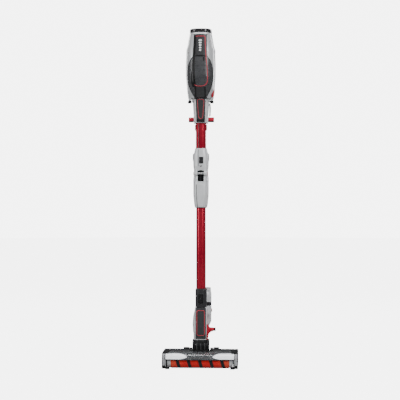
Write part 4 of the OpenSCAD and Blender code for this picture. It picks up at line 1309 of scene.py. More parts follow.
def make_wand_foot():
    """Dark moulding round the foot of the wand, with a framed recess for the release button."""
    z0, z1 = FOOT + GAP, WAND
    n = 96
    rings = []
    levels = [(z0 + d, i) for i, d in rounding(1.0)] + [(z, 0) for z in np.linspace(z0 + 1, z1 - 7, 18)]
    levels += [(z1 - 7 + 6 * t, 1.4 * t * t) for t in (0.25, 0.5, 0.75, 1.0)] + [(z1 - 0.3, 2.2), (z1, 3.2)]
    base = rounded(39, 43, 15, (0, 1), n // 4 - 1)
    for z, inset in levels:
        flat = inset_outline(base, inset)
        rings.append([(x, y, z) for x, y in flat])
    shape = loft(rings)
    spigot = rod("z", (0, 0), 15.7, low("wand_foot")[2], z0 + 2, 0.8, 64)
    shape = join(shape, spigot)
    recess = prism("y", rounded(17, 33, 2.5, (0, z0 + 29.6)), -30, -17.4)
    notch = prism("y", rounded(25, 20, 2.0, (0, z0)), -30, -19.5)
    shape = minus(
        shape,
        rod("z", (0, 0), 13.6, z0 - 60, z1 + 20, n=64),
        rod("z", (0, 0), LOWER_BORE_R, WAND - 22.4, WAND + 10, n=64),
        recess,
        notch,
    )
    frame_line = even(rounded(20.5, 36.5, 4, (0, z0 + 29.6), 8), 2.0, True)
    piece("wand_socket", shape, "lower_wand", "dark_plastic", ["wand_foot"])
    bead = pipe([(x, -20.4, z) for x, z in frame_line], 1.0, True, 10)
    piece("button_frame", bead, "lower_wand", "panel_plastic", slot="dark_plastic")
    lo, hi = low("nozzle_release_button"), high("nozzle_release_button")
    pad = prism("y", rounded(hi[0] - lo[0], hi[2] - lo[2], 2.0, (0, (lo[2] + hi[2]) / 2)), lo[1] + 0.6, hi[1], 0.5)
    grips = [
        rod("x", (lo[1] + 1.0, lo[2] + 6.5 + 6 * k), 1.0, lo[0] + 2.5, hi[0] - 2.5, 0.5, 20) for k in range(4)
    ]
    piece("release_button", join(pad, *grips), "nozzle_release", "black_plastic", ["nozzle_release_button"])


make_neck()
make_neck_panel()
make_bracket()
make_crevice_tool()
make_dusting_brush()
make_wands()
make_wand_foot()


# ---- flex joint ----

HZ = HINGE[2]
HY = HINGE[1]
KNUCKLE_R = 8.5
FINGER_IN, FINGER_OUT = 11.5, 18.5
BUTTON_Z = HZ + 57
FLEX_LOW = Form([
    [FLEX, 20.6, -20, 22], [FLEX + 10, 23.6, -22, 24], [FLEX + 27, 25.2, -23, 25.5],
    [FLEX + 45, 27, -24, 27.5], [FLEX + 98, 27.2, -24, 28], [HZ - GAP, 24.8, -23, 28],
])
FLEX_HIGH = Form([
    [HZ, 24.6, -23, 28], [HZ + 12, 25.2, -24, 28], [HZ + 30, 27.2, -24, 28], [HZ + 54, 27.6, -24, 27.5],
    [HZ + 68, 25.8, -23.5, 26], [HZ + 80, 22.3, -22.5, 24.5], [FLEX_TOP, 21.2, -21.5, 23],
])


BACK_HALF = block((-60, 0, 0), (60, 60, 1200))
FRONT_HALF = block((-60, -60, 0), (60, GAP, 1200))


def hinge_rod(radius, x0, x1, edge=0.0, n=48):
    """A round bar along the hinge's axis."""
    return rod("x", (HY, HZ), radius, x0, x1, edge, n)


def knuckle(up, x0, x1):
    """A disc round the pin on an arm that leans back from the other half."""
    line = arc((HY, HZ), KNUCKLE_R, 0, -255 * up, 40)
    line += [(HY - 1.6, HZ + up * 9.7), (HY - 3.4, HZ + up * 19.5)]
    line += [(HY - 3.4, HZ + up * 26), (HY + 6, HZ + up * 26)]
    return prism("x", line, x0, x1, 0.5)


def fold_relief(up):
    """What one half gives up so that the other can fold past it."""
    wedge = [(HY + 2, HZ), (HY - 2, HZ + up * 12), (-26, HZ + up * 34), (-40, HZ + up * 60), (-40, HZ)]
    return prism("x", wedge, -40, 40), hinge_rod(KNUCKLE_R + 1.2, -40, 40, n=72)


def collar_band(form, z0, z1):
    """A solid ring inside the form, round the tube."""
    return form_solid(form, z0, z1, grow=0.4 - SHELL)


def make_flex_lower():
    skin = form_skin(FLEX_LOW, 1.0)
    mouth = block((-FINGER_IN + 1, -30, HZ - 28), (FINGER_IN - 1, -12, HZ + 5))
    skin = minus(skin, *fold_relief(-1), mouth)
    bore = rod("z", (0, 0), LOWER_BORE_R, FLEX - 2, FLEX + 40, n=72)
    arms = both(knuckle(-1, FINGER_OUT + GAP, 23.6))
    front = join(minus(skin, BACK_HALF), arms, minus(collar_band(FLEX_LOW, FLEX + 6, FLEX + 14), BACK_HALF))
    front = minus(front, hinge_rod(4, -40, 40), bore)
    rear = minus(skin, FRONT_HALF)
    ribs = [prism("y", rounded(26, 2.2, 1.0, (0, FLEX + 62 + 7 * k)), 26.6, 40) for k in range(5)]
    rear = minus(rear, *ribs)
    piece("flex_low_front", front, "lower_wand", "light_plastic", ["flex_lower_front"])
    piece("flex_low_rear", rear, "lower_wand", "light_plastic", ["flex_lower_rear"])


def skin_patch(form, left, right, z0, z1, proud, deep, columns=24, rows=40, edge=1.2):
    """A panel that lies on a form's front between two side lines x(z), its rim turned down."""
    out, inn = [], []
    for z in np.linspace(z0, z1, rows):
        a, b = left(z), right(z)
        near_end = min(z - z0, z1 - z)
        row_out, row_in = [], []
        for x in np.linspace(a, b, columns):
            near = min(x - a, b - x, near_end)
            drop = edge - math.sqrt(max(edge**2 - max(edge - near, 0) ** 2, 0))
            row_out.append((x, form.front(x, z) - proud + drop, z))
            row_in.append((x, form.front(x, z) + deep, z))
        out.append(row_out)
        inn.append(row_in)
    return sheet_solid(out, inn)


def make_flex_details():
    """Tongue cover under the hinge, ribbed pad above it, dark lines of painted shadow down the left of each housing's
    front, and a dark lower rim.
    """
    shape_line = Curve([[FLEX + 2, -9.5, 10.5], [FLEX + 26, -12.5, 14.5], [FLEX + 50, -13.6, 17.4],
                        [FLEX + 72, -13.6, 18.0], [FLEX + 82, -12.4, 15.5]])
    tongue = skin_patch(
        FLEX_LOW, lambda z: shape_line(z)[0], lambda z: shape_line(z)[1], FLEX + 2, FLEX + 82, 1.0, 1.0
    )
    piece("flex_tongue", tongue, "lower_wand", "light_plastic")
    # Painted shadow: a dark line along the tongue's left edge only.
    seam = []
    for z in np.linspace(FLEX + 3, FLEX + 80, 40):
        left = shape_line(z)[0]
        seam.append((left - 1.1, FLEX_LOW.front(left, z) - 0.1, z))
    piece("flex_low_shadow_line", pipe(seam, 0.95, flat=0.5), "lower_wand", "dark_plastic")
    rim = [tuple(p) for p in FLEX_LOW.ring(FLEX + 0.6, 0.1, 96)]
    piece("flex_low_rim", pipe(rim, 0.9, True, 10, up=(0, 0, 1)), "lower_wand", "black_plastic")
    # Painted shadow: a dark line down the left of the upper housing's front panel.
    groove = [(-9.6 + 1.2 * math.sin((z - HZ) / 30), FLEX_HIGH.front(-9.6, z) - 0.05, z)
              for z in np.linspace(HZ + 26, FLEX_TOP - 4, 44)]
    piece("flex_high_shadow_line", pipe(groove, 1.0, flat=0.5), "upper_wand", "dark_plastic")
    pad_z = HZ + 46
    frame_line = even(rounded(16.5, 25, 2.4, (1.6, pad_z), 6), 1.6, True)
    path = [(x, FLEX_HIGH.front(x, z) - 0.2, z) for x, z in frame_line]
    piece("flex_pad_frame", pipe(path, 0.8, True, 10), "upper_wand", "light_plastic")
    out, inn = [], []
    for z in np.linspace(pad_z - 12, pad_z + 12, 74):
        ridge = 0.55 * (0.5 + 0.5 * math.cos((z - pad_z) * 2 * math.pi / 3.4))
        row = [(x, FLEX_HIGH.front(x, z) - 0.1 - ridge, z) for x in np.linspace(-6.0, 9.2, 12)]
        out.append(row)
        inn.append([(x, y + 1.4 + ridge, z) for x, y, z in row])
    piece("flex_pad", sheet_solid(out, inn), "upper_wand", "dark_plastic")
    arrow = prism("y", [(-3.5, HZ + 29), (0.4, HZ + 25.6), (4.3, HZ + 29), (4.3, HZ + 25.6), (0.4, HZ + 22.4),
                        (-3.5, HZ + 25.6)], -24.9, -22.6)
    piece("flex_arrow", arrow, "upper_wand", "dark_plastic")
    ledge = prism("y", rounded(17, 4.2, 1.8, (0, HZ - 29.5)), -23.6, -19, 0.6)
    piece("flex_ledge", ledge, "lower_wand", "light_plastic")


def make_flex_upper():
    skin = form_skin(FLEX_HIGH, 1.0)
    windows = both(block((21, -8.6, BUTTON_Z - 12.6), (34, 8.6, BUTTON_Z + 12.6)))
    skin = minus(skin, *fold_relief(1), windows)
    bore = rod("z", (0, 0), UPPER_BORE_R, FLEX_TOP - 40, FLEX_TOP + 10, n=72)
    fingers = both(knuckle(1, FINGER_IN, FINGER_OUT))
    band_ring = minus(collar_band(FLEX_HIGH, FLEX_TOP - 14, FLEX_TOP - 6), BACK_HALF)
    front = join(minus(skin, BACK_HALF), fingers, band_ring)
    front = minus(front, hinge_rod(4.06, -40, 40), bore)
    piece("flex_high_front", front, "upper_wand", "light_plastic", ["flex_upper_front"])
    piece("flex_high_rear", minus(skin, FRONT_HALF), "upper_wand", "light_plastic", ["flex_upper_rear"])


def make_flex_hose():
    """Corrugated hose inside the joint."""
    hose = bellows("flex_hose", 12.5, 1.2, 26, 56)
    blend = ("lower_wand", "upper_wand", (0, HY * MM, (HZ - 42) * MM), (0, HY * MM, (HZ + 42) * MM))
    piece("flex_bellows", hose, None, "hose_rubber", ["flex_hose"], blend=blend)


def make_flex_pin():
    """Steel pin under two red caps."""
    pin = hinge_rod(3.97, -23.7, 23.7, 0.3)
    caps = both(hinge_rod(6.4, 23.8, 25.8, 0.8))
    slots = both(hinge_rod(2.4, 25.1, 27, n=6))
    piece("hinge_pin", pin, "lower_wand", "steel", ["flex_pin"])
    piece("pin_caps", minus(caps, slots), "lower_wand", "red_plastic")


def make_side_button(side, name, body):
    """Squeeze button in the side of the flex joint, with grip ridges and a dark surround."""
    lo, hi = low(name), high(name)
    x0, x1 = (lo[0], hi[0]) if side > 0 else (-hi[0], -lo[0])
    pad = prism("x", rounded(15.4, 23.4, 4, (0, BUTTON_Z)), x0, x1 - 0.6, 0.8)
    ridges = [rod("y", (x1 - 1.1, BUTTON_Z + 3.6 * k), 1.05, -5.4, 5.4, 0.5, 20) for k in (-2, -1, 0, 1, 2)]
    shape = join(pad, *ridges)
    outline = even(rounded(17.4, 25.4, 4.6, (0, BUTTON_Z), 8), 1.5, True)
    path = [(FLEX_HIGH.side(y, z) - 0.1, y, z) for y, z in outline]
    ring = pipe(path, 0.95, True, 10, up=(1, 0, 0))
    if side < 0:
        shape, ring = mirrored(shape), mirrored(ring)
    piece(f"{name}_pad", shape, body, "light_plastic", [name])
    piece(f"{name}_surround", ring, "upper_wand", "dark_plastic")


make_flex_lower()
make_flex_upper()
make_flex_details()
make_flex_hose()
make_flex_pin()
make_side_button(-1, "flex_button_left", "flex_release_left")
make_side_button(1, "flex_button_right", "flex_release_right")


# ---- accessory clip and fork ----

BAR = (36, COLLAR + 16)
BAR_R = 9


def make_clip():
    """Red clamp round the tube; its rounded ears carry a painted shade in dark red underneath and at their inner ends
    by the collar.
    """
    clamp = rod("z", (0, 0), 21.4, COLLAR - 24, COLLAR - 4, 1.2, 80)
    ears = both(rod("x", BAR, BAR_R, 10.5, 45, 2.0, 64))
    hub = rod("x", BAR, BAR_R + 0.5, -11, 11, 1.0, 64)
    arm = block((-11, 10, COLLAR - 24), (11, BAR[0] + 6, COLLAR - 4), 1.5)
    riser = block((-11, BAR[0] - 8, COLLAR - 10), (11, BAR[0] + 6, BAR[1]), 1.0)
    opening = block((-30, -40, COLLAR - 30), (30, -6, COLLAR))
    clamp = minus(join(clamp, arm, riser, hub), rod("z", (0, 0), UPPER_BORE_R, COLLAR - 30, COLLAR + 10, n=80), opening)
    piece("clip_clamp", clamp, "upper_wand", "red_plastic", ["accessory_clip"])
    # Faces low on the ears or close to the collar take a dark red as painted shade.
    piece("clip_ears", ears, "upper_wand", "clip_red", second="red_painted_shade",
          rule=lambda c, n: c.z < BAR[1] - 4.2 or abs(c.x) < 24)
    at = (0, COLLAR - 14)
    bolt = join(rod("y", at, 4.2, BAR[0] + 5, BAR[0] + 7.2, 0.8), rod("y", at, 2, BAR[0], BAR[0] + 6))
    bolt = minus(bolt, rod("y", at, 1.9, BAR[0] + 6, BAR[0] + 9, n=6))
    piece("clip_bolt", bolt, "upper_wand", "steel")


def make_fork_ribs():
    """Raised ribs on the shield between the fork's arms, coloured a lighter grey as a painted highlight."""
    lo, hi, bend = HEAD_TOP + 1.4, NECK - 11, NECK - 18
    ribs = []
    for x in (-14, 0, 14):
        line = [(-26.8, hi), (-26.8, bend), (-17.8, lo), (-15, lo), (-24.6, bend), (-24.6, hi)]
        ribs.append(prism("x", line, x - 1.3, x + 1.3, 0.4))
    # The ribs' lighter grey is a painted highlight on the dark shield.
    piece("fork_ribs", gather(*ribs), "yoke", "rib_painted_highlight_grey")
    band_ring = turned([(NECK - 8, 29), (NECK - 8, 29.5), (NECK - 4.6, 29.5), (NECK - 4.6, 29)], "z", (0, 0), 96)
    piece("fork_band", band_ring, "yoke", "black_plastic")


# ---- hand unit ----

BODY_BACK = -19.5
BODY_N = 144  # points round the hand unit's skin
DOOR_PIN = (-30, BODY + 6)
CUP_TOP = BODY + 140
BODY_FORM = Form([[BODY + z, w, f, b] for z, w, f, b in (
    (0, 44.3, -33, 31), (14, 46.3, -45, 34), (33, 48.2, -62, 37), (55, 49.6, -72, 38.5), (80, 51.6, -75, 40),
    (115, 51.8, -75, 41), (141, 50.8, -72, 41), (168, 50, -67, 41), (182, 46.2, -64, 41), (199, 43.5, -60, 41),
    (216, 40.4, -56, 40.5), (226, 39, -54, 40),
)])
FRONT_EDGE = Curve([[BODY + z, w] for z, w in (
    (1, 20), (10, 24), (20, 30), (37, 37.5), (54, 42), (72, 43.8), (92, 43.5), (112, 40), (128, 33.5), (141, 25),
    (180, 22), (219, 21),
)])
GRIP_LINE = [(36, 207), (54, 204), (69.5, 193), (78.5, 172), (82.2, 140), (80.5, 105), (74.5, 72), (63.5, 46),
             (49, 30), (34, 22)]
TRIGGER_Z = BODY + 158
MODE_AT = (0, 57)
MODE_Z = BODY + 214
LATCH_Z = BODY + 165
DOOR_BUTTON = (-26, BODY + 18)
SCREWS = ((78.5, 178), (81.5, 122), (73, 64), (52, 32))


def front_outline(shrink, z0, z1, step=2.0):
    """Outline of the dark front between two heights."""
    zs = np.linspace(z0, z1, max(int((z1 - z0) / step), 2) + 1)
    half = [float(FRONT_EDGE(max(z, BODY + 1))[0]) - shrink for z in zs]
    return [(h, z) for h, z in zip(half, zs)] + [(-h, z) for h, z in reversed(list(zip(half, zs)))]


def body_skin(proud, deep):
    """A layer of the body's skin between two offsets."""
    return minus(form_solid(BODY_FORM, grow=proud, n=BODY_N), form_solid(BODY_FORM, grow=deep, over=6, n=BODY_N))


def on_front(outline, proud, deep):
    """The part of such a layer that lies in front, inside an (x, z) outline."""
    return common(body_skin(proud, deep), prism("y", outline, -100, -30))


def grip_solid(grow):
    """The handle: an oval run along its bent centre line."""
    path = even(spline([(y, BODY + z) for y, z in GRIP_LINE], 10), 2.2)
    rings = []
    count = len(path)
    for k in range(count):
        d = np.array(path[min(k + 1, count - 1)]) - np.array(path[max(k - 1, 0)])
        d = d / np.linalg.norm(d)
        ring = []
        for a in full_turn(56):
            c, s = math.cos(a), math.sin(a)
            u = (15 + grow) * math.copysign(abs(c) ** 0.9, c)
            v = (12 + grow) * math.copysign(abs(s) ** 0.9, s)
            ring.append((u, min(path[k][0], 82.15) - d[1] * v, path[k][1] + d[0] * v))
        rings.append(ring)
    return loft(rings)


def make_side_shells():
    skin = form_skin(BODY_FORM, 1.2, BODY_N)
    opening = prism("y", front_outline(-GAP, BODY - 10, BODY + 225), -100, BODY_BACK + GAP)
    skin = minus(skin, opening, block((-25, -100, BODY + 218), (25, -30, CAP + 1)))
    handle = minus(grip_solid(0), form_solid(BODY_FORM, grow=-0.5, over=6))
    lugs = both(prism("z", rounded(10, 12, 3, (38, -16)), BODY - 9, BODY + 2, 0.6))
    whole = join(skin, handle, lugs)
    slot = block((-7, 60, TRIGGER_Z - 17), (7, 80.5, TRIGGER_Z + 17))
    hole = rod("z", MODE_AT, 5.5, MODE_Z - 12, MODE_Z + 18, n=40)
    screws = [rod("x", (y, BODY + z), 3.6, -30, -11, n=32) for y, z in SCREWS]
    vents = []
    for k in range(6):
        y = -34 + 7 * k
        line = [(y, BODY + 176), (y + 3, BODY + 176), (y + 10, BODY + 206), (y + 7, BODY + 206)]
        vents.append(prism("x", line, 25, 60))
    whole = minus(whole, slot, hole, *screws, both(gather(*vents)))
    left = minus(whole, block((-0.1, -200, 0), (200, 200, 1300)))
    windows = [
        block((38, -4.4, LATCH_Z - 9.4), (60, 14.4, LATCH_Z + 9.4)),
        prism("x", button_outline(0.4), 36, 60),
        block((25, 4, BODY - 2), (37, 16, BODY + 6)),
    ]
    right = minus(whole, block((-200, -200, 0), (0.1, 200, 1300)), *windows)
    piece("shell_left", left, "hand_unit", "silver_plastic", ["side_shell_left"])
    piece("shell_right", right, "hand_unit", "silver_plastic", ["side_shell_right"])
    inner = common(
        minus(form_solid(BODY_FORM, grow=-SHELL - 0.1, n=96), form_solid(BODY_FORM, grow=-SHELL - 1.3, over=6, n=96)),
        gather(*[block((x, -42, BODY + 170), (x + 30, 14, BODY + 212)) for x in (30, -60)]),
    )
    piece("vent_mesh", inner, "hand_unit", "black_plastic")
    # A band of lighter silver under the cap: a painted highlight line.
    brow = common(body_skin(0, -SHELL), block((-24.6, -100, BODY + 219.4), (24.6, -30, CAP - 0.3)))
    piece("brow_highlight_band", brow, "hand_unit", "silver_painted_highlight")


def make_spine():
    """Dark panel over the motor, with its raised middle and the generic charge bars."""
    panel = on_front(front_outline(0.1, BODY + 141, BODY + 219), 0, -SHELL)
    piece("spine_plate", panel, "hand_unit", "panel_edge", ["spine_panel"])
    middle_part = on_front(piping_outline(1.2, BODY + 142.2), 0.7, -1)
    piece("spine_middle", middle_part, "hand_unit", "panel_plastic")
    bars = []
    for k, width in enumerate((7, 8, 9, 10, 11)):
        z = BODY + 162 + 8.8 * k
        bars.append(on_front(rounded(width, 6.0, 2.4, (0, z)), 1.0, 0.2))
    piece("charge_bars", gather(*bars), "hand_unit", "mark_white")


PIPING_RISE = Curve([[BODY + z, w] for z, w in (
    (60, 25.2), (75, 25.4), (95, 24.6), (115, 22.6), (140, 20.4), (160, 19.0), (185, 17.6), (212, 16.6),
)])
PIPING_FOOT = [(25.2, 60), (24.4, 52), (21.4, 46), (15.5, 41.6), (8, 39.2), (0, 38.6)]


def piping_right():
    """Right half of the red line, from the middle of its foot up to its top."""
    foot = spline([(x, BODY + z) for x, z in reversed(PIPING_FOOT)], 6)
    rise = [(float(PIPING_RISE(z)[0]), z) for z in np.linspace(BODY + 62, BODY + 207, 50)]
    top_x = float(PIPING_RISE(BODY + 207)[0])
    corner = arc((top_x - 4.6, BODY + 207), 4.6, 0, 90, 8)[1:]
    return [tuple(p) for p in foot] + rise + corner + [(0, BODY + 211.6)]


def piping_outline(inside, z_from, z_to=BODY + 215):
    """Closed outline inside the red line, cut off at two heights."""
    half = [(max(x - inside, 0), z) for x, z in piping_right()]
    z_top = max(z for x, z in half) - inside
    half = [(x, min(max(z, BODY + 38.6 + inside), z_top)) for x, z in half]
    half = [(x, z) for x, z in half if z_from <= z <= z_to and x > 0]
    return half + [(-x, z) for x, z in reversed(half)]


def make_cup():
    """Smoked cup with a raised middle, its dark seam and the notch of its catch."""
    outer = common(
        form_solid(BODY_FORM, edge=0, n=BODY_N),
        prism("y", front_outline(0, BODY + 1, BODY + 141), -100, BODY_BACK),
        block((-60, -100, BODY + 1.4), (60, 0, CUP_TOP)),
    )
    inner = common(
        form_solid(BODY_FORM, grow=-2.4, over=6, n=BODY_N),
        prism("y", front_outline(2.4, BODY + 1, BODY + 150), -100, BODY_BACK - 2),
        block((-60, -100, BODY + 3.4), (60, 0, BODY + 160)),
    )
    middle_part = on_front(piping_outline(1.2, BODY + 20, BODY + 139.4), 0.7, -1)
    cuts = [
        block((-19, -100, BODY + 2.6), (19, BODY_BACK - 2.2, BODY + 36.5)),
        block((-11, -30, BODY + 56), (11, 0, BODY + 75)),
        rod("z", (0, -44), 20.4, BODY + 100, BODY + 180),
        rod("x", DOOR_PIN, 2.06, -24, 24),
        rod("x", DOOR_PIN, 9, -19, 19),
    ]
    cup = minus(join(minus(outer, inner), middle_part), *cuts)
    piece("cup", cup, "hand_unit", "smoked_clear", ["dust_cup"])
    seam = [(x, BODY_FORM.front(x, z) - 0.7, z) for x, z in
            ((x, BODY + 142.6 - 2.4 * (x / 19) ** 2) for x in np.linspace(-19, 19, 24))]
    piece("cup_seam", pipe(seam, 1.15, flat=0.6), "hand_unit", "black_plastic")
    notch = on_front(rounded(5.2, 14, 1.4, (12.5, BODY + 131)), 1.2, 0.2)
    piece("cup_catch", notch, "hand_unit", "black_plastic")
    for k, z in enumerate((BODY + 122, BODY + 108)):
        w = float(PIPING_RISE(z)[0]) - 3
        line = [(x, BODY_FORM.front(x, z + 1.5 - 2 * (x / w) ** 2) - 0.62, z + 1.5 - 2 * (x / w) ** 2)
                for x in np.linspace(-w, w, 24)]
        piece(f"cup_line_{k}", pipe(line, 0.5, flat=0.6), "hand_unit", "dark_plastic")


def make_front_trim():
    """Red piping round the middle, a black strip over its left run as painted shade and dark reflection, and the dark
    joint line.
    """
    right = piping_right()

    def on_skin(line, proud):
        return [(x, BODY_FORM.front(x, z) - proud, z) for x, z in line]

    foot_left = [(-x, z) for x, z in right if z < BODY + 50 and x < 20][1:]
    top_left = [(-x, z) for x, z in right if z > BODY + 209]
    run = list(reversed(foot_left)) + right + list(reversed(top_left))
    piece("front_piping", pipe(on_skin(even(run, 2.0), 0.9), 1.5, flat=0.8), "hand_unit", "piping_red")
    # A black strip along the left of the raised middle, standing in for the shade and dark reflection on that side.
    zs = np.linspace(BODY + 36, BODY + 213, 80)
    wide = Curve([[BODY + 36, 6.5], [BODY + 50, 8.0], [BODY + 75, 7.2], [BODY + 105, 4.6], [BODY + 125, 4.2],
                  [BODY + 150, 5.0], [BODY + 190, 5.2], [BODY + 213, 4.6]])
    mid = Curve([[BODY + 36, -19], [BODY + 50, -22.8], [BODY + 75, -24.0], [BODY + 95, -23.6], [BODY + 140, -20.8],
                 [BODY + 185, -18.2], [BODY + 213, -17.4]])
    out, inn = [], []
    for z in zs:
        m, h = float(mid(z)[0]), float(wide(z)[0])
        row_out, row_in = [], []
        for t in np.linspace(-1, 1, 13):
            x = m + t * h
            y = BODY_FORM.front(x, z)
            row_out.append((x, y - 0.3 - 1.9 * (1 - abs(t) ** 5), z))
            row_in.append((x, y + 0.9, z))
        out.append(row_out)
        inn.append(row_in)
    piece("left_painted_shade_strip", sheet_solid(out, inn), "hand_unit", "gloss_black_and_painted_reflection")
    edges = []
    for s in (-1, 1):
        line = [(s * float(FRONT_EDGE(z)[0]), z) for z in np.linspace(BODY + 2, BODY + 218.5, 90)]
        edges.append(pipe([(x, BODY_FORM.front(x, z) + 0.3, z) for x, z in line], 1.25, flat=0.7))
    piece("front_joint", gather(*edges), "hand_unit", "black_plastic")


def make_door():
    """Trap door in the cup's floor, with two dark grooves."""
    back = BODY_BACK - 9
    wedge = [(-100, BODY + 3), (back, BODY + 3), (back, BODY + 8), (-59, BODY + 36.1), (-100, BODY + 36.1)]
    lid = common(form_solid(BODY_FORM, over=5, n=BODY_N), prism("x", wedge, -18.7, 18.7))
    hollow = minus(form_solid(BODY_FORM, grow=-3, over=5, n=BODY_N), rod("x", DOOR_PIN, 3.2, -18.7, 18.7))
    rods = both(rod("x", DOOR_PIN, 2, 18.7, 21.5))
    lid = join(minus(lid, hollow), rods)
    piece("door_lid", lid, "cup_door", "panel_plastic", ["dust_cup_door"])
    strips = both(block((14.6, -100, BODY + 3.6), (18.5, back, BODY + 35.6)))
    piece("door_grooves", common(body_skin(0.35, -0.8), strips), "cup_door", "gloss_black_and_painted_reflection")


def button_outline(grow=0.0):
    """Teardrop of the door's release: pointed at its top, round at its foot."""
    y, z = DOOR_BUTTON
    half = [(0, 14), (-5, 8.5), (-7.4, 2), (-8, -4.5), (-6.4, -11), (0, -14)]
    half = [(u * (1 + grow / 8), v * (1 + grow / 14)) for u, v in half]
    return spline([(y + u, z + v) for u, v in half + [(-u, v) for u, v in reversed(half[1:-1])]], 6, True)


def make_door_button():
    """Red release that stands proud of the shell."""
    shape = common(form_solid(BODY_FORM, grow=2, n=BODY_N), prism("x", button_outline(), 38.4, 53))
    piece("door_button", shape, "door_release", "red_plastic", ["door_release_button"])


def make_rubber():
    """Grip pad with cross grooves, and the bumpers under the body."""
    pad = minus(grip_solid(1.8), grip_solid(0.02), block((-30, 0, BODY), (30, 73, BODY + 240)))
    pad = common(pad, block((-30, 60, BODY + 66), (30, 120, BODY + 178)))
    grooves = [block((-30, 60, BODY + 72 + 7 * k), (30, 120, BODY + 73.4 + 7 * k)) for k in range(15)]
    pad = minus(pad, minus(gather(*grooves), grip_solid(1.0)))
    bumpers = both(prism("z", rounded(13, 14, 4.5, (38.5, -16)), BODY - 16, BODY - 7, 1.4))
    piece("grip_pad", pad, "hand_unit", "rubber_black", ["rubber_pads"])
    piece("bumpers", bumpers, "hand_unit", "rubber_black")


def make_battery():
    """Pack under a glossy cap, with the charging socket in the cap's back."""
    lid = prism("z", rounded(76, 92, 30, (0, -7), 16), CAP + GAP, TOP, 3.0, 6)
    rim = prism("z", rounded(70, 86, 28, (0, -7), 16), TOP - 1.4, TOP + 2)
    lid = minus(lid, minus(rim, prism("z", rounded(62, 78, 25, (0, -7), 16), TOP - 3, TOP + 3)))
    pack = prism("z", rounded(50, 30, 6, (0, 17.4), 8), BODY + 98, CAP + 1, 1.0)
    socket = rod("y", (0, CAP + 7), 2.75, 29, 50, n=40)
    well = rod("y", (0, CAP + 7), 4.6, 37.6, 50, n=40)
    piece("battery", minus(join(lid, pack), socket, well), "battery", "gloss_dark_plastic", ["battery_pack"])
    ring = minus(rod("y", (0, CAP + 7), 4.5, 37.4, 38.4, 0.3), rod("y", (0, CAP + 7), 2.85, 30, 50))
    piece("socket_ring", ring, "battery", "steel")


def make_hand_controls():
    """Battery catch, mode button and trigger."""
    catch = prism("x", rounded(17.6, 17.6, 2.4, (5, LATCH_Z)), 41.4, 49.6, 0.8)
    ridges = [rod("y", (49.4, LATCH_Z + 3.2 * k), 1.0, -1.5, 11.5, 0.5, 20) for k in (-1, 0, 1)]
    piece("catch", join(catch, *ridges), "battery_catch", "gloss_black_and_painted_reflection", ["battery_latch"])
    cap = rod("z", MODE_AT, 5.1, MODE_Z - 8, MODE_Z + 3.4, 1.2, 48)
    ring = turned([(MODE_Z + 2.8, 2.0), (MODE_Z + 2.8, 2.6), (MODE_Z + 5, 2.6), (MODE_Z + 5, 2.0)], "z", MODE_AT, 40)
    cap = minus(cap, ring)
    piece("mode_cap", cap, "mode_switch", "black_plastic", ["mode_button"])
    z = TRIGGER_Z
    face = spline([(60, z - 14), (60.3, z - 7), (61, z), (62, z + 8), (65.5, z + 13.5), (70, z + 16.5)], 6)
    line = [tuple(p) for p in face] + [(75, z + 16.5), (75, z - 16.5), (71, z - 16.5)]
    piece("trigger_blade", prism("x", line, -6.5, 6.5, 1.3), "trigger_body", "red_plastic", ["trigger"])


def make_body_screws():
    heads = []
    for y, z in SCREWS:
        head = join(rod("x", (y, BODY + z), 3.4, -13, -11, 0.5), rod("x", (y, BODY + z), 1.5, -11.5, 8))
        heads.append(minus(head, rod("x", (y, BODY + z), 1.6, -14, -12, n=6)))
    piece("shell_screws", gather(*heads), "hand_unit", "steel", ["body_screws"])


# ---- collar of the hand unit ----

LEVER_Z = COLLAR + 66
COLLAR_FORM = Form([[COLLAR, 24, -23, 25], [COLLAR + 60, 28, -24, 26], [BODY - GAP, 29, -24, 26]])


def make_collar():
    body = form_solid(COLLAR_FORM, edge=0.8)
    wing = [(-18, BODY - 1), (-18, BODY - 6), (-12, BODY - 11), (12, BODY - 11), (18, BODY - 6), (18, BODY - 1)]
    wings = both(prism("x", wing, 25, 31.4, 0.6))
    duct = rod("z", (0, 0), 17.4, BODY - 1, BODY + 80, n=72)
    cuts = [
        rod("z", (0, 0), 19.1, COLLAR - 1, COLLAR + 61, n=80),
        rod("z", (0, 0), 15, COLLAR, COLLAR + 160, n=72),
        block((-11, -22, BODY + 56), (11, 0, BODY + 74)),
        block((-18, -40, COLLAR + 3), (18, -21, BODY + 1)),
        block((23, -5.6, COLLAR + 21), (40, 5.6, COLLAR + 72)),
        rod("y", (25.4, LEVER_Z + 2.5), 1.26, -8.2, 8.2, n=32),
    ]
    piece("collar", minus(join(body, wings, duct), *cuts), "hand_unit", "light_plastic", ["inlet_collar"])
    lip = [tuple(p) for p in COLLAR_FORM.ring(COLLAR + 0.9, 0.1, 96)]
    piece("collar_lip", pipe(lip, 0.95, True, 10, up=(0, 0, 1)), "hand_unit", "dark_plastic")


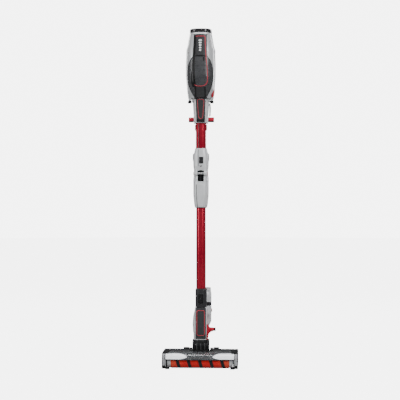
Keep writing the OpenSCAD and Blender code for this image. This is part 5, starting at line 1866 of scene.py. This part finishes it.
def make_collar_panel():
    """Dark inlay with a red line round its middle and a black catch block at its foot."""
    slab = prism("z", [(-17.9, -21.4), (-17.9, -24), (-13, -25.4), (13, -25.4), (17.9, -24), (17.9, -21.4)],
                 COLLAR + 3.4, COLLAR + 84.4, 0.4)
    taper = prism("y", [(-14.8, COLLAR), (14.8, COLLAR), (17.6, BODY), (-17.6, BODY)], -40, 0)
    piece("collar_face", common(slab, taper), "hand_unit", "panel_plastic", ["collar_panel"])
    z0, z1 = COLLAR + 17, BODY - 3
    half = [(0, z0 - 1.5), (4, z0 - 0.4), (6.8, z0 + 4), (8.0, z0 + 12), (9.6, z0 + 36)]
    half += [(11.0, z1 - 8), (10.2, z1 - 2), (7, z1), (0, z1 + 0.2)]
    line = spline(half + [(-x, z) for x, z in reversed(half[1:-1])], 6, True)

    def lift(p):
        x, z = float(p[0]), float(p[1])
        return (x, -25.4 + max(abs(x) - 12, 0) * 0.25, z)

    piping = pipe([lift(p) for p in even(line, 1.5, True)], 1.0, True, 12, 0.6)
    piece("collar_piping", piping, "hand_unit", "piping_red")
    foot = [(-14.2, COLLAR + 3.6), (14.2, COLLAR + 3.6), (14.4, COLLAR + 15), (9.5, COLLAR + 15), (8, COLLAR + 12.6),
            (-8, COLLAR + 12.6), (-9.5, COLLAR + 15), (-14.4, COLLAR + 15)]
    piece("collar_catch", prism("y", foot, -25.8, -22, 0.3), "hand_unit", "black_plastic")


def make_lever():
    """White release lever on its pin, with a dark tip."""
    z = LEVER_Z
    outer = spline([(29.3, z + 4.5), (33.2, z + 2), (34.9, z - 8), (34.9, z - 20), (33.6, z - 38)], 6)
    line = [(23.7, z + 4.5)] + [tuple(p) for p in outer]
    line += [(28.6, z - 43), (28.8, z - 12), (28.4, z + 0.5), (23.7, z + 0.5)]
    bar = join(prism("y", line, -5, 5, 0.9), rod("y", (25.4, z + 2.5), 1.2, -8, 8))
    cut = block((0, -20, z - 60), (60, 20, z - 35))
    piece("lever_bar", minus(bar, cut), "wand_release", "white_plastic", ["wand_release_lever"])
    piece("lever_tip", common(bar, cut), "wand_release", "black_plastic", slot="light_plastic")


make_clip()
make_fork_ribs()
make_side_shells()
make_spine()
make_cup()
make_front_trim()
make_door()
make_door_button()
make_rubber()
make_battery()
make_hand_controls()
make_body_screws()
make_collar()
make_collar_panel()
make_lever()


def corners(box):
    return [list(corner) for corner in box]
